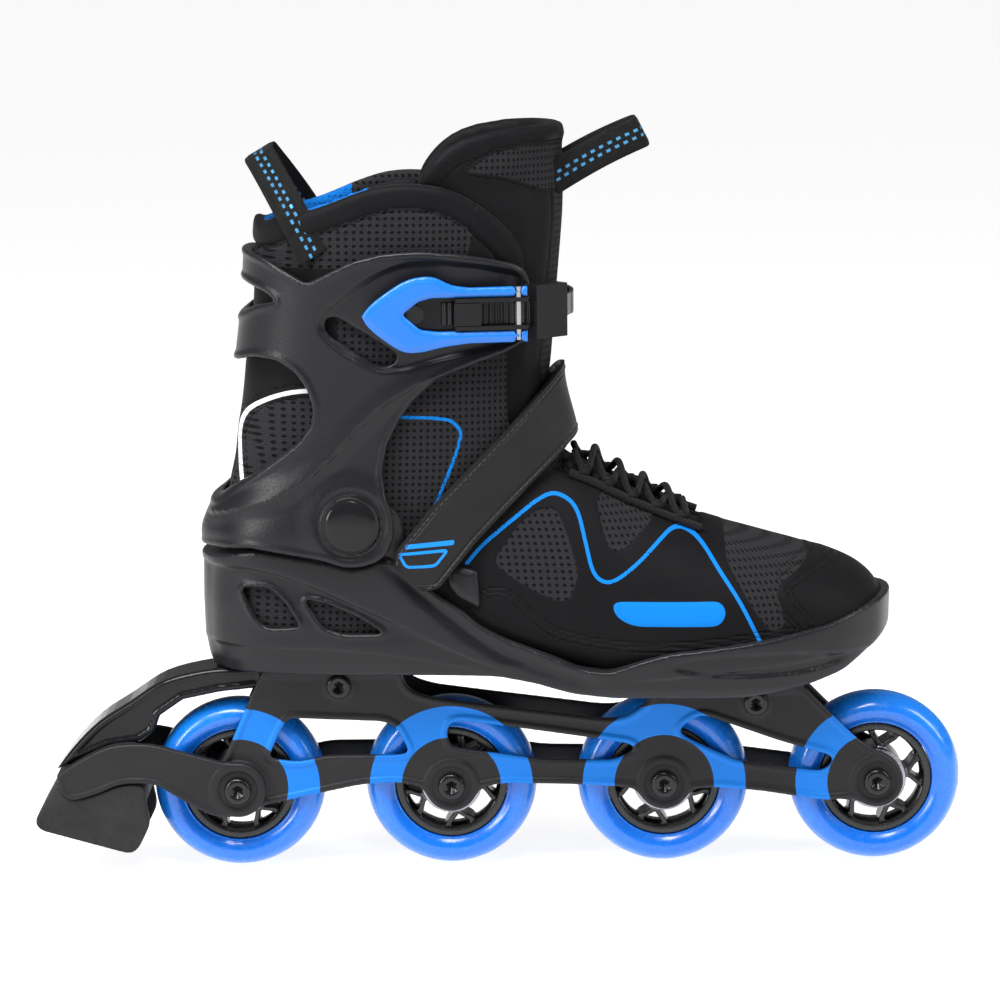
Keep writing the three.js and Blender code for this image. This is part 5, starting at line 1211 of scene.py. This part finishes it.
strap_leather = Finish("strap_leather")
along, across = strap_leather.stored("along"), strap_leather.stored("across")
inset = strap_leather.math("SUBTRACT", strap_leather.stored("half"), strap_leather.math("ABSOLUTE", across))
row_gap = strap_leather.math("ABSOLUTE", strap_leather.math("SUBTRACT", inset, 2.3))
crease = strap_leather.between(row_gap, 0.9, 0.2)
pores = strap_leather.noise(1300, 4)
wave_tone = strap_leather.mixed(strap_leather.noise(45, 3), (0.0065, 0.0062, 0.0070),
    (0.0100, 0.0097, 0.0106))
cut_edge = strap_leather.between(inset, 0.7, 0.2)
skin = strap_leather.mixed(cut_edge, wave_tone, (0.003, 0.003, 0.003))
mark = strap_leather.between(strap_leather.stored("mark"), 0.1, -0.1)
strap_leather.finish(
    base_color=strap_leather.mixed(mark, skin, (0.004, 0.20, 0.66)),
    roughness=strap_leather.between(pores, 0.3, 0.7, 0.46, 0.62),
    specular_ior_level=0.22,
    sheen_weight=0.03,
    normal=strap_leather.bump(strap_leather.math("SUBTRACT", pores,
    strap_leather.math("MULTIPLY", crease, 3.0)), 0.00016),
)
low_in, run_in = strap_layer(1.5, 2.6)
low_out, run_out = strap_layer(4.0, 7.8)
end_out = low_out[0] - 9.0 * STRAP_ALONG
beyond = run_in[-1] - run_in[-2]
beyond /= np.linalg.norm(beyond, axis=1, keepdims=True)
bend = [
    run_in[-1] * (1 - s) + run_out[-1] * s + beyond * 3.2 * math.sin(s * math.pi) for s in np.linspace(0, 1,
    9)[1:-1]
]
tail = [end_out * (1 - t) + low_out[0] * t for t in np.linspace(0, 0.85, 6)]
strap_grid = np.array([*low_in, *run_in, *bend, *run_out[::-1], *low_out[::-1], *tail[::-1]])
total = len(strap_grid)
narrow = np.ones(total)
narrow[-5:] = [0.97, 0.92, 0.84, 0.74, 0.62]
centre = strap_grid.mean(axis=1, keepdims=True)
strap_grid = centre + (strap_grid - centre) * narrow[:, None, None]
fine_grid = rounded(np.swapaxes(rounded(strap_grid, 4, False), 0, 1), 3, False)
fine_grid = np.swapaxes(fine_grid, 0, 1)
row_number = np.linspace(0, total - 1, len(fine_grid))
strap = ribbon("instep_strap_sewn", fine_grid, 2.0, strap_leather.material)
half_width = np.interp(row_number, np.arange(total), 12.8 * narrow)
remember(strap, "half", np.tile(np.repeat(half_width, fine_grid.shape[1]), 2))
px, py, pz = places(strap)
bar = edge([(-41.5, 160.0), (-19, 161.0), (-19.8, 158.8), (-42, 158.0)], px, pz)
frame_mark = np.abs(edge(eased([(-44.5, 155.8), (-22.5, 156.6), (-28, 150.2), (-41, 149.8)], 1.5), px,
    pz)) - 0.65
outer_layer = np.tile(np.repeat(row_number > total / 2, fine_grid.shape[1]), 2)
remember(strap, "mark", np.where(outer_layer & (py < -30), np.minimum(bar, frame_mark), 2))
top_face = strap_grid[len(low_in) + len(run_in) + 6 :]
lift = np.cross(np.gradient(top_face, axis=0), np.gradient(top_face, axis=1))
lift /= np.linalg.norm(lift, axis=2, keepdims=True)
if (lift[len(lift) // 2, 5] @ (top_face[len(lift) // 2, 5] - np.array([0, 0, 180]))) < 0:
    lift = -lift
centres, ways = [], []
for column in (2, 8):
    outer = top_face[:, column] * 0.35 + top_face[:, 1 if column == 2 else 9] * 0.65
    path = outer + lift[:, column] * 1.05
    steps = np.concatenate([[0], np.cumsum(np.linalg.norm(np.diff(path, axis=0), axis=1))])
    for at in np.arange(2, steps[-1] - 2, 3.1):
        point = np.array([np.interp(at, steps, path[:, k]) for k in range(3)])
        ahead = np.array([np.interp(at + 1, steps, path[:, k]) for k in range(3)])
        centres.append(point)
        ways.append(ahead - point)
thread_black = Finish("thread_black")
twist = thread_black.noise(3000, 2)
thread_black.finish(
    base_color=thread_black.mixed(twist, (0.0015, 0.0015, 0.0015), (0.007, 0.007, 0.007)),
    roughness=0.75,
    sheen_weight=0.3,
    normal=thread_black.bump(twist, 0.0001),
)
strap_thread = threads("strap_thread", centres, ways, 2.3, 0.36, thread_black.material)
for obj in (strap, strap_thread):
    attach(obj, "boot")
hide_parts("instep_strap")
for node in ("strap_rivet_lateral", "strap_rivet_medial", "strap_ring"):
    frame["nodes"][node].data.materials[0] = black_steel.material

# ---------------------------------------------------------------- strap ring tab
# A short tab of black woven webbing, doubled round the ring and riveted to the inner side
# of the shell.
webbing = Finish("webbing_black")
along, across = webbing.stored("along"), webbing.stored("across")
weave_wave = webbing.math("SINE", webbing.math("MULTIPLY", along, 2600))
cord_wave = webbing.math("SINE", webbing.math("MULTIPLY", across, 3600))
plait = webbing.math("MULTIPLY_ADD", webbing.math("MULTIPLY", weave_wave, cord_wave), 0.5, 0.5)
left_row = webbing.math("ABSOLUTE", webbing.math("SUBTRACT", across, 1.5))
right_row = webbing.math("ABSOLUTE", webbing.math("ADD", across, 1.5))
phase = webbing.math("MULTIPLY", along, 1.45)
left_dash = webbing.math("GREATER_THAN", webbing.math("SINE", phase), 0.1)
right_dash = webbing.math("GREATER_THAN", webbing.math("SINE", webbing.math("ADD", phase, math.pi)), 0.1)
left_mark = webbing.math("MULTIPLY", webbing.between(left_row, 0.75, 0.55), left_dash)
right_mark = webbing.math("MULTIPLY", webbing.between(right_row, 0.75, 0.55), right_dash)
dashes = webbing.math("MULTIPLY", webbing.math("MAXIMUM", left_mark, right_mark), webbing.stored("mark"))
yarn = webbing.mixed(plait, (0.0035, 0.0035, 0.0038), (0.011, 0.011, 0.0115))
webbing.finish(
    base_color=webbing.mixed(dashes, yarn, (0.10, 0.42, 0.78)),
    roughness=0.8,
    specular_ior_level=0.1,
    sheen_weight=0.04,
    sheen_roughness=0.4,
    normal=webbing.bump(plait, 0.0004),
)
TAB_ACROSS = np.linspace(-9.6, 9.6, 9)


def tab_row(turn, off):
    start = STRAP_FOOT + STRAP_ALONG * 50 + np.outer(TAB_ACROSS, STRAP_UP)
    ray = STRAP_ALONG * math.cos(turn) + np.array([0, math.sin(turn), 0])
    return crossing(lambda x, y, z: boot_gap(x, y, z) - off, start, np.tile(ray, (len(TAB_ACROSS), 1)))


def tab_foot(y):
    foot = STRAP_FOOT + np.outer(TAB_ACROSS, STRAP_UP)
    foot[:, 1] = y
    return foot


TAB_TURNS = np.linspace(0.62 * math.pi + 0.42, 0.62 * math.pi + 0.25, 5)
tab_in = [tab_row(turn, 3.4) for turn in TAB_TURNS]
tab_out = [tab_row(turn, 8.6) for turn in TAB_TURNS]
beyond = tab_in[-1] - tab_in[-2]
beyond /= np.linalg.norm(beyond, axis=1, keepdims=True)
bend = [
    tab_in[-1] * (1 - s) + tab_out[-1] * s + beyond * 2.8 * math.sin(s * math.pi) for s in np.linspace(0, 1,
    9)[1:-1]
]
into = [tab_foot(43.4) * (1 - t) + tab_in[0] * t for t in np.linspace(0, 0.9, 8)]
back = [tab_out[0] * (1 - t) + tab_foot(45.3) * t for t in np.linspace(0.1, 1, 8)]
tab = ribbon("ring_tab_sewn", [*into, *tab_in, *bend, *tab_out[::-1], *back], 1.5, webbing.material)
remember(tab, "mark", np.zeros(len(tab.data.vertices)))
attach(tab, "boot")
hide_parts("ring_tab")


# ---------------------------------------------------------------- laces
# One round braided polyester lace, crossed over the throat through five pairs of loops,
# with its ends tucked under.
def tube(name, path, radius, material, sides):
    """A round cord along a path in millimetres, with closed ends."""
    path = np.asarray(path, float)
    ahead = np.gradient(path, axis=0)
    ahead /= np.linalg.norm(ahead, axis=1, keepdims=True)
    side_way = np.cross(ahead, (0.02, 0.03, 1.0))
    side_way /= np.linalg.norm(side_way, axis=1, keepdims=True)
    up_way = np.cross(side_way, ahead)
    turns = np.arange(sides) * 2 * math.pi / sides
    ring = np.cos(turns)[None, :, None] * side_way[:, None] + np.sin(turns)[None, :, None] * up_way[:, None]
    points = (path[:, None] + ring * radius).reshape(-1, 3)
    faces = []
    for i in range(len(path) - 1):
        for k in range(sides):
            a, b = i * sides + k, i * sides + (k + 1) % sides
            faces.append((a, b, b + sides, a + sides))
    last = (len(path) - 1) * sides
    for k in range(1, sides // 2):
        a, b, c, d = k - 1, k, sides - 1 - k, sides - k
        faces.append((a, d, c, b))
        faces.append((last + a, last + b, last + c, last + d))
    made = build(name, points, faces, material)
    steps = np.concatenate([[0], np.cumsum(np.linalg.norm(np.diff(path, axis=0), axis=1))])
    remember(made, "along", np.repeat(steps, sides))
    remember(made, "around", np.tile(turns, len(path)))
    return made


def on_boot(x, y, lift):
    """A point above the throat of the boot, lifted so far off it."""
    found = crossing(boot_gap, np.array([[x, y, 130.0]]), np.array([[0, 0, 1.0]]), 70)
    return found[0] + np.array([0, 0, lift])


braid = Finish("lace_braid")
along, around = braid.stored("along"), braid.stored("around")
turned = braid.math("MULTIPLY", along, 2.9)
first = braid.math("SINE", braid.math("ADD", turned, braid.math("MULTIPLY", around, 4.0)))
second = braid.math("SINE", braid.math("SUBTRACT", turned, braid.math("MULTIPLY", around, 4.0)))
plaited = braid.math("MULTIPLY_ADD", braid.math("MULTIPLY", first, second), 0.5, 0.5)
braid.finish(
    base_color=braid.mixed(plaited, (0.003, 0.003, 0.003), (0.012, 0.012, 0.0125)),
    roughness=0.7,
    specular_ior_level=0.15,
    sheen_weight=0.04,
    normal=braid.bump(plaited, 0.00035),
)
LACE_X = [84, 73, 62, 51, 40]


def strand(sign, lift):
    points = []
    for number, x in enumerate(LACE_X):
        side = sign * (-1) ** number
        points += [(x + 2.6, side * 17, 3.2), (x, side * 20, 2.6), (x - 2.6, side * 17, 3.2)]
        if number < 4:
            points.append((x - 5.5, 0, lift))
    return points


lace_plan = [(36, -11, 2.8), *strand(-1, 6.4)[::-1], (86.5, -9, 2.8), (86.5, 9, 2.8), *strand(1, 2.4),
    (36, 11, 2.8)]
lace_line = rounded([on_boot(*point) for point in lace_plan], 9, closed=False)
lace = tube("lace_braided", lace_line, 1.62, braid.material, 12)
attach(lace, "boot")
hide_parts(*[name for name in frame["nodes"] if name.startswith("lace")])

# ---------------------------------------------------------------- eyestays
# A piped cord sewn along each side of the throat, with a folded loop of webbing for each
# bend of the lace.
for side_name, sign in (("lateral", -1), ("medial", 1)):
    cord_line = rounded([on_boot(x, sign * 23.2, 2.5) for x in (33.5, 46, 58, 70, 82, 93.5)], 10,
        closed=False)
    cord = tube("eyestay_cord_" + side_name, cord_line, 1.75, braid.material, 12)
    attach(cord, "boot")
    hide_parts("eyestay_" + side_name)
    for number, x in enumerate(LACE_X):
        middle = on_boot(x, sign * 20, 2.6)
        outer = on_boot(x, sign * 23.2, 2.5)
        rows = []
        for turn in np.linspace(0.12 * math.pi, 1.88 * math.pi, 21):
            reach = 2.5 + 0.25 * math.cos(2 * turn)
            rows.append(middle + np.array([0, sign * reach * math.cos(turn), reach * math.sin(turn)]))
        over = outer + np.array([0, sign * 1.2, 1.9])
        under = outer + np.array([0, sign * 1.2, -1.2])
        line_points = rounded([over, *rows[1:-1], under], 3, closed=False)
        wide = np.linspace(-2.5, 2.5, 5)
        grid = line_points[:, None, :] + wide[None, :, None] * np.array([1.0, 0, 0])
        loop = ribbon(f"lace_loop_{side_name}_{number + 1}", grid, 0.75, webbing.material)
        remember(loop, "mark", np.zeros(len(loop.data.vertices)))
        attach(loop, "boot")


# ---------------------------------------------------------------- buckle lever
# The lever: a long tapered hoop of moulded blue nylon, flat behind with rounded outer
# edges. It turns on a steel pin through the base.
LEVER_RIM = rounded([(-40, 0), (-36, 5), (-28, 11), (-20, 15.5), (-13, 17), (-7, 16.5), (0, 13.2),
    (8, 11.8)], 4, False)
LEVER_LOW = rounded([(8, -13), (-4, -14.5), (-14, -16.5), (-22, -16), (-30, -11), (-37, -5),
    (-40, 0)], 4, False)
LEVER = np.array([*LEVER_RIM, (34, 12), (34, -12.8), *LEVER_LOW[:-1]])
LEVER_HOLE = [(-22, 0.5), (-15, 6), (-9, 7.6), (37, 7.6), (37, -7.6), (-6, -7.6), (-14, -6.5)]
BUCKLE_TURN = math.radians(7)
BUCKLE_X, BUCKLE_Y, BUCKLE_Z = -20, -46.5, 265


def in_buckle(x, y, z):
    """Buckle coordinates: along the lever, outwards from the leg, and up."""
    dx, dy = x - BUCKLE_X, y - BUCKLE_Y
    s = dx * math.cos(BUCKLE_TURN) + dy * math.sin(BUCKLE_TURN)
    return s, dy * math.cos(BUCKLE_TURN) - dx * math.sin(BUCKLE_TURN), z - BUCKLE_Z


def lever_field(x, y, z):
    s, out, up = in_buckle(x, y, z)
    rim = edge(LEVER, s, up)
    hole = edge(eased(LEVER_HOLE, 1.5), s, up)
    crown = np.abs(out + 6.6) - 2.2
    ridge_line = 0.5 * ramp(-rim, 1.0, 2.6) * ramp(hole, 0.8, 2.0)
    web = both(both(rim, -hole, 0.4), crown + 0.45 - ridge_line, 0.9)
    pin = np.hypot(s - 30, out + 6.6) - 2.1
    return np.maximum(web, -pin)


lever_blue = Finish("lever_blue")
tone = lever_blue.noise(18, 3)
grain = lever_blue.noise(900, 3)
lever_blue.finish(
    base_color=lever_blue.mixed(tone, (0.003, 0.125, 0.52), (0.005, 0.155, 0.60)),
    roughness=lever_blue.between(grain, 0.3, 0.7, 0.28, 0.40),
    specular_ior_level=0.5,
    coat_weight=0.2,
    coat_roughness=0.2,
    subsurface_weight=0.05,
    normal=lever_blue.bump(grain, 0.00005),
)
lever = moulded("lever_moulded", (-63, -64, 246), (18, -42, 284), 0.62, lever_field, lever_blue.material)
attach(lever, "lever")
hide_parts("buckle_lever")

# ---------------------------------------------------------------- buckle base and strap
# A moulded black base, its catch and the toothed ladder, all glossy nylon, with steel pin
# and screws. The base is screwed to the cuff.
ladder_nylon = Finish("ladder_nylon")
rib = ladder_nylon.math("SINE", ladder_nylon.math("MULTIPLY", ladder_nylon.axis("X"), 2500))
speck = ladder_nylon.noise(800, 3)
ladder_nylon.finish(
    base_color=ladder_nylon.mixed(ladder_nylon.between(rib, -0.4, 0.4), (0.004, 0.004, 0.004),
    (0.010, 0.010, 0.011)),
    roughness=ladder_nylon.between(speck, 0.3, 0.7, 0.28, 0.42),
    ior=1.5,
    coat_weight=0.15,
    normal=ladder_nylon.bump(rib, 0.0007, under=ladder_nylon.bump(speck, 0.00005)),
)
for node, look in (
    ("buckle_base", gloss_black),
    ("buckle_pawl", gloss_black),
    ("ladder_strap", ladder_nylon),
    ("buckle_screw", black_steel),
    ("ladder_screw", black_steel),
    ("lever_pin", bearing_steel),
):
    kept = frame["nodes"][node]
    kept.data.materials[0] = look.material
    soft_edge = kept.modifiers.new("edges", "BEVEL")
    soft_edge.width = 0.00035
    soft_edge.segments = 2
    soft_edge.limit_method = "ANGLE"


# ---------------------------------------------------------------- pull loops
# Two loops of ribbed black webbing with two woven rows of blue dashes, sewn to the tongue
# and to the back of the collar.
def pull_loop(name, foot, tip, half_at, half_tip, backed, sag):
    foot, tip = np.array([foot[0], 0, foot[1]], float), np.array([tip[0], 0, tip[1]], float)
    way = (tip - foot) / np.linalg.norm(tip - foot)
    wide_way = np.array([-way[2], 0, way[0]])

    def beside(sign, on):
        at = foot + way * on
        at[1] = sign * half_at(at)
        return at

    def at_tip(y, on):
        return tip + way * on + np.array([0, y, 0])

    near = [beside(-1, 0), beside(-1, backed / 2), beside(-1, backed), at_tip(-half_tip, -5)]
    far = [at_tip(half_tip, -5), beside(1, backed), beside(1, backed / 2), beside(1, 0)]
    path = rounded([*near, at_tip(-half_tip * 0.6, 0), at_tip(half_tip * 0.6, 0), *far], 9, closed=False)
    wide = np.linspace(-7.3, 7.3, 9)
    share = np.clip((path - foot) @ way / np.linalg.norm(tip - foot), 0, 1)
    path = path + wide_way * (sag * share * (1 - share) * 4)[:, None]
    cup = (np.abs(wide) / 7.3) ** 2 * 0.5
    inward = -np.sign(path[:, 1])[:, None, None] * np.array([0, 1.0, 0]) * cup[None, :, None]
    grid = path[:, None, :] + wide[None, :, None] * wide_way + inward * np.clip(share, 0.2, 1)[:, None, None]
    made = ribbon(name, grid, 1.5, webbing.material)
    remember(made, "mark", np.ones(len(made.data.vertices)))
    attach(made, "cuff")
    return made


def collar_half(at):
    found = crossing(boot_gap, np.array([[at[0], 0.0, at[2]]]), np.array([[0, 1.0, 0]]), 60)
    return found[0][1] + 1.4


tongue_loop = pull_loop("tongue_loop_webbing", (26, 321), (67, 342), lambda at: 15, 11, 12, 1.2)
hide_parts("tongue_pull_loop")
heel_loop = pull_loop("heel_loop_webbing", (-80, 290), (-106, 334), collar_half, 15, 23, -0.8)
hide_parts("heel_pull_loop")

# ---------------------------------------------------------------- strap keeper
# A small moulded nylon keeper on the shell, just ahead of the strap's low end, that stops
# the strap sliding forward.
KEEPER = [(-23, 148), (-16, 148), (-9, 146), (-8, 129), (-18, 134), (-22, 139)]


def keeper_field(x, y, z):
    gap = boot_gap(x, y, z)
    side = edge(eased(KEEPER, 2), x, z)
    crown = 3.0 + 0.6 * ramp(-side, 1, 3)
    return np.maximum(both(both(gap - crown, -gap - 1.0, 1.0), side, 1.4), y + 20)


keeper = moulded("strap_keeper", (-27, -52, 124), (-3, -30, 152), 0.7, keeper_field, shell_plastic.material)
remember(keeper, "brim", np.full(len(keeper.data.vertices), 0.6))
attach(keeper, "boot")
